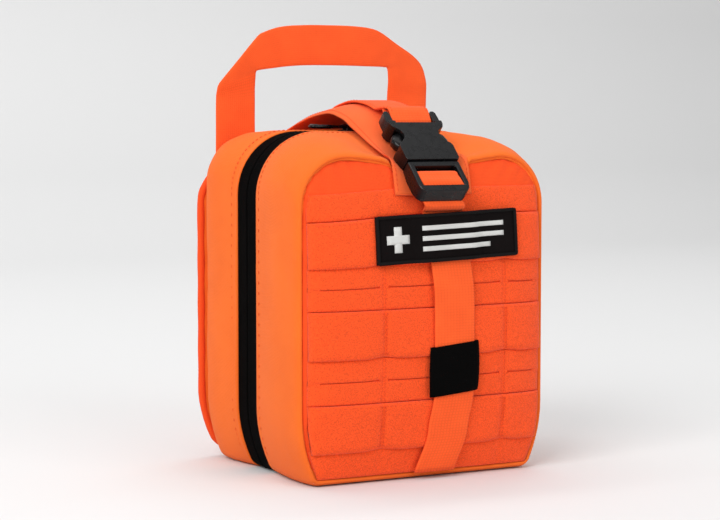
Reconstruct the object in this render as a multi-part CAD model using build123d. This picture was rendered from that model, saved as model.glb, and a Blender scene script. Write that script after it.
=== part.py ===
from build123d import *
import os
from math import sqrt

# A soft clamshell first aid kit, in mm.
# +Z is up, -Y is the front, +X is to the right seen from the front.
# Everything is drawn with Y = 0 where the two halves meet at the zip and Z = 0 at the base,
# then moved back by ZIP_TO_MIDDLE so that the origin is under the middle of the whole part.

CASE_W = 146.0
CASE_H = 192.0
TOP_R = 45.0
BOTTOM_R = 12.0
WALL = 2.4
EDGE_R = 8.0
REAR_Y = 53.0
FRONT_Y = -62.0
ZIP_TO_MIDDLE = 8.276

# zip
TAPE_HALF = 9.6
TAPE_TUCK = 4.4
TAPE_T = 1.0
ZIP_GAP = 0.5
COIL_W = 1.8
COIL_T = 1.6
ZIP_FEET = 50.0

# front panel: a gentle barrel about an axis along X
BULGE_R = 314.0
BULGE_Y = 241.0
BULGE_Z = 88.0
ROW = 25.4
ROW_LOW_Z = 19.0
PLAIN_H = 16.0
RAISE = 2.2
BAND_T = 0.8
STITCH_X = (-26.5, 11.6, 49.7)

# the webbing line shared by flap, buckle and strap
LINE_X = 6.0
WEB = 25.0
FLAP_W = 48.0
STRAP_IN = 3.6
STRAP_T = 1.6

# side-release buckle: s runs down the slope from its bar, n stands off the slope
BUCKLE_Y = -38.0
BUCKLE_Z = CASE_H + 8.0
SLOPE = sqrt(0.5)
HOUSING_S = (8.0, 34.0)
HOUSING_W = 36.0
HOUSING_T = 10.0
FRAME_S = (34.4, 56.0)
FRAME_W = 32.0
BAR_R = 1.8

HANDLE_HALF = 69.0
HANDLE_RISE = 62.0
HANDLE_Y = (53.2, 55.2)
HANDLE_PIVOT_Z = CASE_H - 2.0
MITRE = 25.0

PANEL_H = CASE_H - 14.0
PANEL_Y = (55.4, 58.4)


# ---------------------------------------------------------------- helpers

def facing(y):
    """A plane seen from the front: local x is +X, local y is +Z."""
    return Plane(origin=(0, y, 0), x_dir=(1, 0, 0), z_dir=(0, -1, 0))


def slab(face, y_back, y_front):
    """A face drawn from the front, made solid between two depths."""
    return extrude(facing(y_back) * face, y_back - y_front)


def block(x0, x1, y0, y1, z0, z1):
    """A box given by its limits."""
    size = (x1 - x0, y1 - y0, z1 - z0)
    middle = ((x0 + x1) / 2, (y0 + y1) / 2, (z0 + z1) / 2)
    return Pos(*middle) * Box(*size)


def rod(x0, x1, y, z, radius):
    """A round bar along X."""
    return Pos((x0 + x1) / 2, y, z) * Rot(0, 90, 0) * Cylinder(radius, x1 - x0)


def arched_face(half_w, z0, z1, top_r, bottom_r):
    """A rectangle with one radius on its top corners and another below."""
    face = Pos(0, (z0 + z1) / 2) * Rectangle(2 * half_w, z1 - z0)
    face = fillet(face.vertices().sort_by(Axis.Y)[-2:], top_r)
    low = [v for v in face.vertices() if v.Y < z0 + 0.01]
    return fillet(low, bottom_r)


def case_face(inset):
    """The outline of the case seen from the front."""
    return arched_face(CASE_W / 2 - inset, inset, CASE_H - inset, TOP_R - inset, BOTTOM_R - inset)


def ribbon(path, thickness, width, x_mid):
    """A flat strip along a path of (y, z) points, as wide as given along X."""
    upper = []
    lower = []
    for i, (y, z) in enumerate(path):
        y0, z0 = path[max(i - 1, 0)]
        y1, z1 = path[min(i + 1, len(path) - 1)]
        length = sqrt((y1 - y0) ** 2 + (z1 - z0) ** 2)
        side_y = -(z1 - z0) / length * thickness / 2
        side_z = (y1 - y0) / length * thickness / 2
        upper.append((y + side_y, z + side_z))
        lower.append((y - side_y, z - side_z))
    face = make_face(Polyline(*upper, *reversed(lower), close=True))
    return extrude(Plane.YZ.offset(x_mid - width / 2) * face, width)


def on_slope(s, n):
    """The (y, z) of a point on the buckle."""
    return BUCKLE_Y - SLOPE * (s + n), BUCKLE_Z - SLOPE * (s - n)


def buckle_block(x0, x1, s0, s1, n0, n1):
    """A box in the buckle's own directions, x measured from its centre line."""
    y, z = on_slope(0, 0)
    box = block(x0, x1, n0, n1, -s1, -s0)
    return Pos(LINE_X, y, z) * Rot(-45, 0, 0) * mirror(box, Plane.XZ)


def barrel(offset):
    """The solid inside the panel's barrel surface, drawn out by an offset."""
    return rod(-90, 90, BULGE_Y, BULGE_Z, BULGE_R + offset)


def barrel_y(z, offset):
    """Depth of the barrel surface at a height."""
    return BULGE_Y - sqrt((BULGE_R + offset) ** 2 - (z - BULGE_Z) ** 2)


def barrel_layer(x0, x1, z0, z1, low, high):
    """A curved layer lying on the front panel."""
    keep = block(x0, x1, -95, -50, z0, z1)
    return keep & (barrel(high) - barrel(low))


def keep_solids(shape):
    """The solids of a shape as one list."""
    return Compound(children=list(shape.solids()))


def save(name, shape):
    export_step(Pos(0, ZIP_TO_MIDDLE, 0) * keep_solids(shape), f"parts/{name}.step")


# ---------------------------------------------------------------- the two halves

def roof(inset):
    """Cuts the front half's top down towards its front shoulder."""
    top = CASE_H
    points = [(1, -10), (1, top), (-12, top), (-36, top - 6), (-50, top - 16),
              (-60, top - 28), (-66, top - 44), (-80, top - 44), (-80, -10)]
    face = make_face(Polyline(*points, close=True))
    return Pos(0, inset, -inset) * extrude(Plane.YZ.offset(-90) * face, 180)


def tub(y_open, y_shut, inset):
    """One half of the case as a solid with its outer edge rounded."""
    body = slab(case_face(inset), max(y_open, y_shut), min(y_open, y_shut))
    outer = [e for e in body.edges() if abs(e.center().Y - y_shut) < 0.01]
    return fillet(outer, EDGE_R - inset)


def rear_shell():
    inner = tub(TAPE_HALF, REAR_Y - WALL, WALL)
    return tub(TAPE_HALF, REAR_Y, 0) - inner


def front_shell():
    outer = tub(-TAPE_HALF, FRONT_Y, 0) & roof(0)
    inner = tub(-TAPE_HALF, FRONT_Y + WALL, WALL) & roof(WALL)
    return outer - inner


def edge_binding(side):
    """The rolled tape along a half's open edge, beside the zip."""
    ring = case_face(0) - case_face(WALL)
    return slab(ring, max(side * 7.6, side * TAPE_HALF), min(side * 7.6, side * TAPE_HALF))


def zip_ring(side, inset, thickness, y_near, y_far):
    """A layer along the zip track: up one side, over the top, down the other."""
    ring = case_face(inset) - case_face(inset + thickness)
    band = slab(ring, max(side * y_near, side * y_far), min(side * y_near, side * y_far))
    return band - block(-ZIP_FEET, ZIP_FEET, -20, 20, -1, 9)


def zip_tape(side):
    tape = zip_ring(side, WALL, TAPE_T, ZIP_GAP, TAPE_HALF + TAPE_TUCK)
    return tape & roof(WALL) if side < 0 else tape


def zip_coil(side):
    return zip_ring(side, WALL + TAPE_T, COIL_T, ZIP_GAP, ZIP_GAP + COIL_W)


def bottom_hinge(side):
    """Half of the fabric strip that joins the halves underneath."""
    near = side * ZIP_GAP
    far = side * (TAPE_HALF + TAPE_TUCK)
    return block(0.3 - ZIP_FEET, ZIP_FEET - 0.3, min(near, far), max(near, far), WALL, WALL + TAPE_T)


def stiffener(y0, y1, top):
    """A thin foam board against a half's closed wall."""
    return slab(arched_face(CASE_W / 2 - 14, 14, top, 28, 4), y1, y0)


# ---------------------------------------------------------------- front panel

def panel_face(inset):
    return arched_face(CASE_W / 2 - 6 - inset, 8 + inset, 168 - inset, 30, 7)


def front_panel():
    return slab(panel_face(2.4), FRONT_Y, -90) & barrel(0)


def panel_piping():
    """The corded seam that runs round the front panel."""
    ring = panel_face(0) - panel_face(2.3)
    return slab(ring, FRONT_Y, -90) & barrel(1.2)


def panel_row(low_z, height, thickness):
    """One horizontal band on the front panel."""
    layer = barrel_layer(-80, 80, low_z, low_z + height, 0, thickness)
    return layer & slab(panel_face(2.5), -50, -95)


def slit_band(low_z):
    """A recessed band with a slot along its middle, closed at each stitch line."""
    band = panel_row(low_z, ROW, BAND_T)
    stops = (-64.0,) + STITCH_X + (64.0,)
    for left, right in zip(stops, stops[1:]):
        middle = low_z + ROW / 2
        band -= block(left + 2.5, right - 2.5, -95, -60, middle - 0.6, middle + 0.6)
    return band


def bar_tacks():
    """Raised stitching where the strips are sewn down."""
    tacks = []
    for row in (0, 2, 4):
        low = ROW_LOW_Z + row * ROW
        for x in STITCH_X:
            tacks.append(barrel_layer(x - 0.8, x + 0.8, low + 1, low + ROW - 1, RAISE, RAISE + 0.2))
    return Compound(children=[s for t in tacks for s in t.solids()])


# ---------------------------------------------------------------- strap and what sits on it

def front_strap():
    """Webbing from under the panel's lower seam up to the buckle's ladder bar."""
    centre = STRAP_IN + STRAP_T / 2
    path = [(barrel_y(z, centre), z) for z in range(8, 149, 8)]
    path += [on_slope(57, -5.4), on_slope(50, -5.0), on_slope(46.4, -3.2)]
    strip = ribbon(path, STRAP_T, WEB, LINE_X)
    return strip + webbing_loop(44.5)


def webbing_loop(s):
    """The turn of webbing round a buckle bar."""
    y, z = on_slope(s, 0)
    half = WEB / 2
    ring = rod(LINE_X - half, LINE_X + half, y, z, BAR_R + 1.8)
    return ring - rod(LINE_X - 20, LINE_X + 20, y, z, BAR_R + 0.1)


def strap_keeper():
    """The elastic sleeve round the strap."""
    low, high = 46.0, 74.0
    sleeve = barrel_layer(LINE_X - 15, LINE_X + 15, low, high, RAISE + 0.3, STRAP_IN + STRAP_T + 1.4)
    passage = barrel_layer(LINE_X - 13, LINE_X + 13, low - 1, high + 1, STRAP_IN - 0.2, STRAP_IN + STRAP_T + 0.2)
    return sleeve - passage


PATCH_X = (-32.0, 57.0)
PATCH_Z = (119.5, 145.5)
PATCH_OUT = 7.0


def patch_base():
    """A black badge on hook tape, lifted over the strap it covers."""
    body = barrel_layer(*PATCH_X, *PATCH_Z, RAISE + 0.3, PATCH_OUT)
    channel = block(LINE_X - 13.4, LINE_X + 13.4, -95, -60, PATCH_Z[0] - 1, PATCH_Z[1] + 1)
    return body - (channel & barrel(STRAP_IN + STRAP_T + 0.5))


def patch_layer(x0, x1, z0, z1):
    return barrel_layer(x0, x1, z0, z1, PATCH_OUT, PATCH_OUT + 0.6)


def patch_border():
    outer = patch_layer(*PATCH_X, *PATCH_Z)
    hole = block(PATCH_X[0] + 1.6, PATCH_X[1] - 1.6, -95, -60, PATCH_Z[0] + 1.6, PATCH_Z[1] - 1.6)
    return outer - hole


def patch_cross():
    """A plain plus sign at one end and three plain bars beside it."""
    x = PATCH_X[0] + 14
    z = (PATCH_Z[0] + PATCH_Z[1]) / 2
    shape = patch_layer(x - 2.4, x + 2.4, z - 7.2, z + 7.2) + patch_layer(x - 7.2, x + 7.2, z - 2.4, z + 2.4)
    bars = [patch_layer(x + 16, x + 68, z + dz - 1.3, z + dz + 1.3) for dz in (-6, 0, 6)]
    return Compound(children=[s for part in [shape] + bars for s in part.solids()])


# ---------------------------------------------------------------- buckle

def buckle_female():
    """The housing, its two horns and the bar between them."""
    s0, s1 = HOUSING_S
    half_w = HOUSING_W / 2
    half_t = HOUSING_T / 2
    shell = buckle_block(-half_w, half_w, s0, s1, -half_t, half_t)
    shell = fillet(shell.edges().filter_by(Axis.X), 2.5)
    shell -= buckle_block(-14, 14, s0 + 3, s1 + 1, -3.2, 3.2)
    shell -= buckle_block(-half_w - 1, half_w + 1, s0 + 6, s0 + 17, -3.2, 3.2)
    for side in (-1, 1):
        near = side * 13.6
        far = side * half_w
        shell += buckle_block(min(near, far), max(near, far), -2, s0 + 1, -3.5, 3.5)
    y, z = on_slope(2.5, 0)
    return shell + rod(LINE_X - 15, LINE_X + 15, y, z, BAR_R)


def buckle_male():
    """The ladder frame and the stiff middle tongue between the prongs."""
    s0, s1 = FRAME_S
    half_w = FRAME_W / 2
    frame = buckle_block(-half_w, half_w, s0, s1, -3.5, 3.5)
    frame = fillet(frame.edges().filter_by(Axis.X), 1.5)
    frame -= buckle_block(-13.2, 13.2, s0 + 4, s1 - 4, -8, 8)
    y, z = on_slope(44.5, 0)
    frame += rod(LINE_X - 15, LINE_X + 15, y, z, BAR_R)
    return frame + buckle_block(-3, 3, 18, s0 + 1, -2, 2)


def prong(side):
    """A springy arm whose head shows in the housing's side window."""
    arm = buckle_block(8.2, 11.6, 15, FRAME_S[0] - 0.6, -2.6, 2.6)
    head = buckle_block(8.2, 17.4, 15.6, 23.5, -2.6, 2.6)
    both = arm + head
    if side < 0:
        both = mirror(both, Plane.YZ.offset(LINE_X))
    return both


# ---------------------------------------------------------------- flap and handle

def top_flap():
    """The wide strip that arches over the zip and ends under the buckle."""
    top = CASE_H
    path = [(44, top + 1.2), (37, top + 8), (22, top + 13.4), (5, top + 15), (-12, top + 14),
            (-25, top + 10), (-34, top + 3.5), (-58, top - 20.5)]
    return ribbon(path, 1.2, FLAP_W, LINE_X)


def flap_webbing():
    """Webbing sewn on the flap and turned round the buckle's bar."""
    top = CASE_H
    path = [(30, top + 12.4), (22, top + 15), (5, top + 16.6), (-12, top + 15.6), (-24, top + 12.4),
            (-30, top + 10.6), (-37.5, top + 9.2)]
    return ribbon(path, 1.6, WEB, LINE_X) + webbing_loop(2.5)


def flap_anchor():
    """The flap's sewn end on the rear half's top."""
    return block(LINE_X - FLAP_W / 2, LINE_X + FLAP_W / 2, 34, 43, CASE_H, CASE_H + 1.0)


def carry_handle():
    """A flat loop of webbing folded square at its two top corners."""
    high = CASE_H + HANDLE_RISE
    low = HANDLE_PIVOT_Z
    out = HANDLE_HALF
    web = out - WEB
    outer = [(-out, low), (-out, high - MITRE), (-web, high), (web, high), (out, high - MITRE), (out, low)]
    inner = [(web, low), (web, high - WEB), (-web, high - WEB), (-web, low)]
    face = make_face(Polyline(*outer, *inner, close=True))
    return slab(face, HANDLE_Y[1], HANDLE_Y[0])


def handle_anchors():
    """The handle's fixed ends, sewn down between case and rear panel."""
    ends = []
    for side in (-1, 1):
        near = side * (HANDLE_HALF - WEB)
        far = side * HANDLE_HALF
        ends.append(block(min(near, far), max(near, far), *HANDLE_Y, 134, HANDLE_PIVOT_Z - 1.3))
    cloth = Compound(children=ends)
    trim = slab(case_face(1), 66, 46) + block(-80, 80, 46, 66, 165, CASE_H)
    return cloth & trim


# ---------------------------------------------------------------- zip sliders

SLIDER_X = 8.0
PULL_L = 24.0
PIN_Z = CASE_H + 1.7


def zip_slider(side):
    """Two plates joined by a thin neck through the zip, with a pin on lugs."""
    x = side * SLIDER_X
    tape_top = CASE_H - WALL
    body = block(x - 6, x + 6, -6, 6, tape_top + 0.3, tape_top + 2.2)
    body += block(x - 1.5, x + 1.5, -0.35, 0.35, tape_top - 4.5, tape_top + 0.5)
    body += block(x - 5, x + 5, -4, 4, tape_top - 4.6, tape_top - 2.9)
    pin_x = x + side * 3
    for y in (-3.4, 2.4):
        body += block(pin_x - 1.6, pin_x + 1.6, y, y + 1, tape_top + 2, PIN_Z + 1.4)
    pin = Pos(pin_x, 0, PIN_Z) * Rot(90, 0, 0) * Cylinder(0.8, 6)
    return body + pin


def zip_pull(side):
    """A moulded tab that turns on the slider's pin."""
    pin_x = side * (SLIDER_X + 3)
    far = pin_x + side * PULL_L
    eye = Pos(pin_x, 0, PIN_Z) * Rot(90, 0, 0) * Cylinder(1.5, 4.4)
    tab = block(min(pin_x, far), max(pin_x, far), -2.2, 2.2, PIN_Z - 0.7, PIN_Z + 0.9)
    grip = block(min(far - side * 12, far), max(far - side * 12, far), -3.4, 3.4, PIN_Z - 0.9, PIN_Z + 1.3)
    hole = Pos(pin_x, 0, PIN_Z) * Rot(90, 0, 0) * Cylinder(0.86, 10)
    return eye + tab + grip - hole


# ---------------------------------------------------------------- rear panel

def rear_board():
    return slab(arched_face(CASE_W / 2 - 3, 8, PANEL_H - 2, 34, 10), PANEL_Y[1], PANEL_Y[0])


def rear_board_binding():
    """The cloth edge wrapped round the rear panel."""
    ring = arched_face(CASE_W / 2 - 1, 6, PANEL_H, 36, 12) - arched_face(CASE_W / 2 - 3, 8, PANEL_H - 2, 34, 10)
    return slab(ring, PANEL_Y[1] + 1, PANEL_Y[0])


def touch_field(y_back, y_front):
    """Hook or loop cloth between case and rear panel."""
    return slab(arched_face(40, 16, 124, 6, 6), y_back, y_front)


def rear_rows():
    """Webbing rows on the panel's outside."""
    rows = [block(-62, 62, PANEL_Y[1], PANEL_Y[1] + 1.4, z, z + ROW) for z in (28, 78.8, 129.6)]
    return Compound(children=rows)


def rear_straps():
    """Two upright mounting straps laced over the rows."""
    y = PANEL_Y[1] + 1.5
    return Compound(children=[block(x - 12.5, x + 12.5, y, y + 1.6, 12, 160) for x in (-38.1, 38.1)])


def rear_snaps():
    """Snap buttons near the foot of each mounting strap."""
    y = PANEL_Y[1] + 3.1
    snaps = [Pos(x, y + 0.7, 24) * Rot(90, 0, 0) * Cylinder(6, 1.4) for x in (-38.1, 38.1)]
    return Compound(children=snaps)


# ---------------------------------------------------------------- inside the case

def rear_organiser():
    """A divider with an open-topped pocket in front of it."""
    divider = slab(arched_face(58, 12, 160, 24, 3), 29.2, 28)
    pocket = block(-50, 50, 8, 28, 12, 84) - block(-49, 49, 9, 28, 13, 90)
    return divider + pocket


ROLL_Z = 116.0
ROLL_Y = 14.6


def bandage_roll(x, radius, length):
    return rod(x - length / 2, x + length / 2, 27.8 - radius, ROLL_Z, radius)


def roll_elastics():
    """Elastic bands that hold the two rolls against the divider."""
    bands = []
    for x, radius in ((-29, 13), (29, 11)):
        y = 27.8 - radius
        band = rod(x - 9, x + 9, y, ROLL_Z, radius + 1.1) - rod(x - 10, x + 10, y, ROLL_Z, radius + 0.1)
        bands.append(band & block(x - 9, x + 9, 0, 28, ROLL_Z - 20, ROLL_Z + 20))
    return Compound(children=[s for band in bands for s in band.solids()])


def packet(x0, x1, y0, y1, z0, z1):
    """A flat sealed packet with softened edges."""
    return fillet(block(x0, x1, y0, y1, z0, z1).edges().filter_by(Axis.Y), 3)


def front_organiser():
    """A divider with packets tucked behind it."""
    return slab(arched_face(56, 12, 128, 10, 3), -50.9, -51.9)


SHEARS_X = 0.0
SHEARS_Z = 96.0


def shears_half(side, y0, y1):
    """A blunt-nosed blade, its shank and a finger ring, turned about the rivet."""
    blade = make_face(Polyline((-5, 0), (5, 0), (4.2, -58), (-4.2, -62), close=True))
    shank = make_face(Polyline((-5, -2), (5, -2), (side * 17 + 3, 34), (side * 17 - 3, 34), close=True))
    ring = Pos(side * 17, 48) * (Ellipse(11, 17) - Ellipse(7.5, 13))
    face = blade + shank + ring - Circle(2.1)
    return slab(Pos(SHEARS_X, SHEARS_Z) * face, y1, y0)


def shears_rivet():
    pin = Pos(SHEARS_X, -46.7, SHEARS_Z) * Rot(90, 0, 0)
    return pin * Cylinder(2.04, 6.4) + Pos(0, 3.6, 0) * pin * Cylinder(4, 0.8) + Pos(0, -3.6, 0) * pin * Cylinder(4, 0.8)


def shears_keeper():
    """An elastic loop on the divider that holds the shears by one shank."""
    outer = block(4, 19.4, -50.9, -43.2, 114, 124)
    return outer - block(5, 18.4, -50.9, -44.2, 113, 125)


# ---------------------------------------------------------------- write every piece

os.makedirs("parts", exist_ok=True)

ROWS_Z = [ROW_LOW_Z + ROW * n for n in range(6)]

PIECES = {
    "rear_shell": rear_shell(),
    "rear_binding": edge_binding(1),
    "rear_zip_tape": zip_tape(1),
    "rear_zip_coil": zip_coil(1),
    "rear_hinge_strip": bottom_hinge(1),
    "rear_stiffener": stiffener(REAR_Y - 3.6, REAR_Y - WALL, CASE_H - 14),
    "rear_loop_field": touch_field(REAR_Y + 1, REAR_Y),
    "rear_organiser": rear_organiser(),
    "roll_elastics": roll_elastics(),
    "bandage_roll_large": bandage_roll(-29, 13, 50),
    "bandage_roll_small": bandage_roll(29, 11, 44),
    "wound_dressing": packet(-46, 46, 12, 26, 13.2, 92),
    "handle_anchors": handle_anchors(),
    "flap_anchor": flap_anchor(),
    "front_shell": front_shell(),
    "front_binding": edge_binding(-1),
    "front_zip_tape": zip_tape(-1),
    "front_zip_coil": zip_coil(-1),
    "front_hinge_strip": bottom_hinge(-1),
    "front_stiffener": stiffener(-59.6, -58.4, 148),
    "front_panel": front_panel(),
    "panel_piping": panel_piping(),
    "plain_band": panel_row(ROWS_Z[5], PLAIN_H, BAND_T),
    "raised_strip_upper": panel_row(ROWS_Z[4], ROW, RAISE),
    "slit_band_upper": slit_band(ROWS_Z[3]),
    "raised_strip_middle": panel_row(ROWS_Z[2], ROW, RAISE),
    "slit_band_lower": slit_band(ROWS_Z[1]),
    "raised_strip_lower": panel_row(ROWS_Z[0], ROW, RAISE),
    "bar_tacks": bar_tacks(),
    "front_strap": front_strap(),
    "buckle_male": buckle_male(),
    "front_organiser": front_organiser(),
    "gauze_packet": packet(-52, -4, -57.8, -52, 14, 92),
    "glove_packet": packet(4, 52, -57.8, -52, 14, 92),
    "shears_half_fixed": shears_half(1, -46.6, -44.8),
    "shears_rivet": shears_rivet(),
    "shears_keeper": shears_keeper(),
    "shears_half_moving": shears_half(-1, -48.6, -46.8),
    "prong_left": prong(-1),
    "prong_right": prong(1),
    "strap_keeper": strap_keeper(),
    "patch_base": patch_base(),
    "patch_border": patch_border(),
    "patch_cross": patch_cross(),
    "top_flap": top_flap(),
    "flap_webbing": flap_webbing(),
    "buckle_female": buckle_female(),
    "carry_handle": carry_handle(),
    "zip_slider_left": zip_slider(-1),
    "zip_slider_right": zip_slider(1),
    "zip_pull_left": zip_pull(-1),
    "zip_pull_right": zip_pull(1),
    "rear_board": rear_board(),
    "rear_board_binding": rear_board_binding(),
    "rear_hook_field": touch_field(PANEL_Y[0], REAR_Y + 1.2),
    "rear_rows": rear_rows(),
    "rear_straps": rear_straps(),
    "rear_snaps": rear_snaps(),
}

for name, shape in PIECES.items():
    save(name, shape)
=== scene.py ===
import math

import bmesh
import bpy
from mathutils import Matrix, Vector, noise


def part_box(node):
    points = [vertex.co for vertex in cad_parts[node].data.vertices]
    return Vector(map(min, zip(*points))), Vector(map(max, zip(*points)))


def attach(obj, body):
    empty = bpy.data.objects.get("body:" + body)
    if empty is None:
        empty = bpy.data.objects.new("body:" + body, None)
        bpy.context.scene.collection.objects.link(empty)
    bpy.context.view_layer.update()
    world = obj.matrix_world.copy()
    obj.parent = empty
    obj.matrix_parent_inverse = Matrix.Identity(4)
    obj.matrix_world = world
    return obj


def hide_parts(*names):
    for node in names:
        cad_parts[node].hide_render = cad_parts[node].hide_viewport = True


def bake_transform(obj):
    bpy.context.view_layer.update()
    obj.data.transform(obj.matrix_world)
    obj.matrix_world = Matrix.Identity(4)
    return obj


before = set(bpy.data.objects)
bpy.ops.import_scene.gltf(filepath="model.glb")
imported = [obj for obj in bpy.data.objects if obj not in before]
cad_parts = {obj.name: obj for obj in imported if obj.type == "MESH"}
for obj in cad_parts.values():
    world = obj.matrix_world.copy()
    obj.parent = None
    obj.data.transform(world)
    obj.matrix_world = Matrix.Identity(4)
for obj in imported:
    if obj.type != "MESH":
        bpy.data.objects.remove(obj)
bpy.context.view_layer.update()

MM = 0.001

# Sizes below are in mm, measured from the plane where the two halves meet at the zip.
ZIP_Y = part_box("rear_zip_tape")[0][1] - 0.5 * MM
SHELL_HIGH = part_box("rear_shell")[1]
CASE_H = SHELL_HIGH[2] / MM
REAR_Y = (SHELL_HIGH[1] - ZIP_Y) / MM
CASE_MID_Z = 92.0
WALL = 2.4
LINE_X = 6.0
SEAM_X = 3.4
WEB = 25.0
ROW = 25.4
ROW_LOW = 19.0
STITCH_X = (-26.5, 11.6, 49.7)
FORWARD = Vector((0, -1, 0))


def at(x, y, z):
    """A point in mm from the zip plane, as metres in the row frame."""
    return Vector((x * MM, ZIP_Y + y * MM, z * MM))


def smooth(t):
    """0 to 1 with soft ends."""
    t = min(max(t, 0.0), 1.0)
    return t * t * (3 - 2 * t)


def noisy(x, y, z, size):
    """Smooth noise from -1 to 1 whose bumps are about size mm across."""
    return noise.noise(Vector((x / size, y / size, z / size)))


# ---------------------------------------------------------------- materials

# Turns a pitch in yarns per metre into a wave texture's scale.
WAVES = 0.3142
GROOVE_GREY = (0.62, 0.62, 0.62)


class Nodes:
    """Builds one node material with short calls."""

    def __init__(self, name):
        self.material = bpy.data.materials.new(name)
        self.material.use_nodes = True
        self.tree = self.material.node_tree
        self.shader = self.tree.nodes["Principled BSDF"]

    def add(self, kind, **inputs):
        node = self.tree.nodes.new(kind)
        for key, value in inputs.items():
            socket = key.replace("_", " ")
            if socket in node.inputs:
                node.inputs[socket].default_value = value
            else:
                setattr(node, key, value)
        return node

    def link(self, source, out, target, into):
        self.tree.links.new(source.outputs[out], target.inputs[into])

    def surface(self, **values):
        """Sets constant values on the shader's own sockets."""
        for key, value in values.items():
            self.shader.inputs[key.replace("_", " ")].default_value = value

    def scaled(self, coordinates, scale):
        """UV or object coordinates, which are in metres, scaled along each axis."""
        source = self.add("ShaderNodeTexCoord")
        scaling = self.add("ShaderNodeMapping", Scale=scale)
        self.link(source, coordinates, scaling, "Vector")
        return scaling

    def object_noise(self, scale, detail=3.0):
        coordinates = self.add("ShaderNodeTexCoord")
        texture = self.add("ShaderNodeTexNoise", Scale=scale, Detail=detail)
        self.link(coordinates, "Object", texture, "Vector")
        return texture

    def ribs(self, direction, scale):
        """Sine bands across one UV axis."""
        wave = self.add("ShaderNodeTexWave", Scale=1.0, bands_direction=direction)
        self.link(self.scaled("UV", scale), "Vector", wave, "Vector")
        return wave

    def product(self, first, second):
        both = self.add("ShaderNodeMath", operation="MULTIPLY")
        self.link(first, "Fac", both, 0)
        self.link(second, "Fac", both, 1)
        return both

    def colours(self, texture, out, stops):
        ramp = self.add("ShaderNodeValToRGB")
        for element, (place, colour) in zip(ramp.color_ramp.elements, stops):
            element.position = place
            element.color = (*colour, 1)
        self.link(texture, out, ramp, "Fac")
        return ramp

    def tones(self, texture, colour, low, high):
        """A colour that a texture drifts between two brightnesses, given as (place, factor)."""
        return self.colours(texture, "Fac", [(place, shade(colour, factor)) for place, factor in (low, high)])

    def darken(self, tone, pattern, stop, share):
        """Multiplies a colour by a pattern's dark lines and feeds the shader."""
        lines = self.colours(pattern, "Value", [(0.0, GROOVE_GREY), (stop, (1, 1, 1))])
        mixed = self.add("ShaderNodeMixRGB", blend_type="MULTIPLY", Fac=share)
        self.link(tone, "Color", mixed, "Color1")
        self.link(lines, "Color", mixed, "Color2")
        self.link(mixed, "Color", self.shader, "Base Color")

    def bump(self, texture, out, strength, distance, under=None):
        node = self.add("ShaderNodeBump", Strength=strength, Distance=distance)
        self.link(texture, out, node, "Height")
        if under:
            self.link(under, "Normal", node, "Normal")
        return node


def shade(colour, factor):
    return tuple(min(1.0, c * factor) for c in colour)


def waves(nodes, across, along):
    """Two crossed sine patterns, in yarns per metre, multiplied together."""
    return nodes.product(*(nodes.ribs(direction, (pitch * WAVES, pitch * WAVES, 1))
                           for direction, pitch in (("X", across), ("Y", along))))


def woven(name, colour, across, along, depth, roughness=0.8, sheen=0.06, mottle=0.05, gloss=0.12):
    """Plain-woven cloth: crossed yarns, slow colour drift and a soft sheen."""
    n = Nodes(name)
    tone = n.tones(n.object_noise(38.0), colour, (0.3, 1 - mottle), (0.7, 1 + mottle))
    yarns = waves(n, across, along)
    n.darken(tone, yarns, 0.6, 0.35)
    slow = n.bump(n.object_noise(160.0, 4.0), "Fac", 0.25, 0.0006)
    weave = n.bump(yarns, "Value", 0.8, depth, slow)
    n.link(weave, "Normal", n.shader, "Normal")
    n.surface(Roughness=roughness, Sheen_Weight=sheen, Sheen_Roughness=0.5, Specular_IOR_Level=gloss)
    return n.material


def webbing(name, colour, ribs, sheen=0.06, contrast=0.3, gloss=0.12):
    """Narrow woven tape: faint ribs along its length, crossed by finer weft ridges."""
    n = Nodes(name)
    both = n.product(n.ribs("X", (ribs * WAVES, 1, 1)), n.ribs("Y", (1, ribs * WAVES * 1.25, 1)))
    n.darken(n.tones(n.object_noise(60.0), colour, (0.3, 0.92), (0.7, 1.06)), both, 0.5, contrast)
    fine = n.bump(waves(n, 2600.0, 2600.0), "Value", 0.4, 0.0001)
    ridged = n.bump(both, "Value", 0.6, 0.00018, fine)
    n.link(ridged, "Normal", n.shader, "Normal")
    n.surface(Roughness=0.7, Sheen_Weight=sheen, Specular_IOR_Level=gloss)
    return n.material


def fuzzy(name, colour):
    """Brushed loop cloth: short curled pile that scatters light."""
    n = Nodes(name)
    pile = n.object_noise(1500.0, 4.0)
    n.link(n.tones(pile, colour, (0.32, 0.72), (0.62, 1.1)), "Color", n.shader, "Base Color")
    coarse = n.bump(n.object_noise(420.0, 4.0), "Fac", 0.35, 0.0007)
    curl = n.bump(pile, "Fac", 0.8, 0.0007, coarse)
    n.link(curl, "Normal", n.shader, "Normal")
    n.surface(Roughness=0.95, Sheen_Weight=0.12, Specular_IOR_Level=0.15)
    return n.material


def moulded(name, colour, roughness=0.3, grain=900.0, depth=0.00003, gloss=0.3):
    """Moulded plastic with a fine spark-eroded grain and slight gloss changes."""
    n = Nodes(name)
    n.link(n.tones(n.object_noise(90.0), colour, (0.3, 1.0), (0.75, 1.5)), "Color", n.shader, "Base Color")
    low = max(0.05, roughness - 0.07)
    shine = n.colours(n.object_noise(300.0), "Fac", [(0.3, (low,) * 3), (0.7, (roughness + 0.08,) * 3)])
    n.link(shine, "Color", n.shader, "Roughness")
    surface = n.bump(n.object_noise(grain, 4.0), "Fac", 0.4, depth)
    n.link(surface, "Normal", n.shader, "Normal")
    n.surface(Specular_IOR_Level=gloss)
    return n.material


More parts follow.
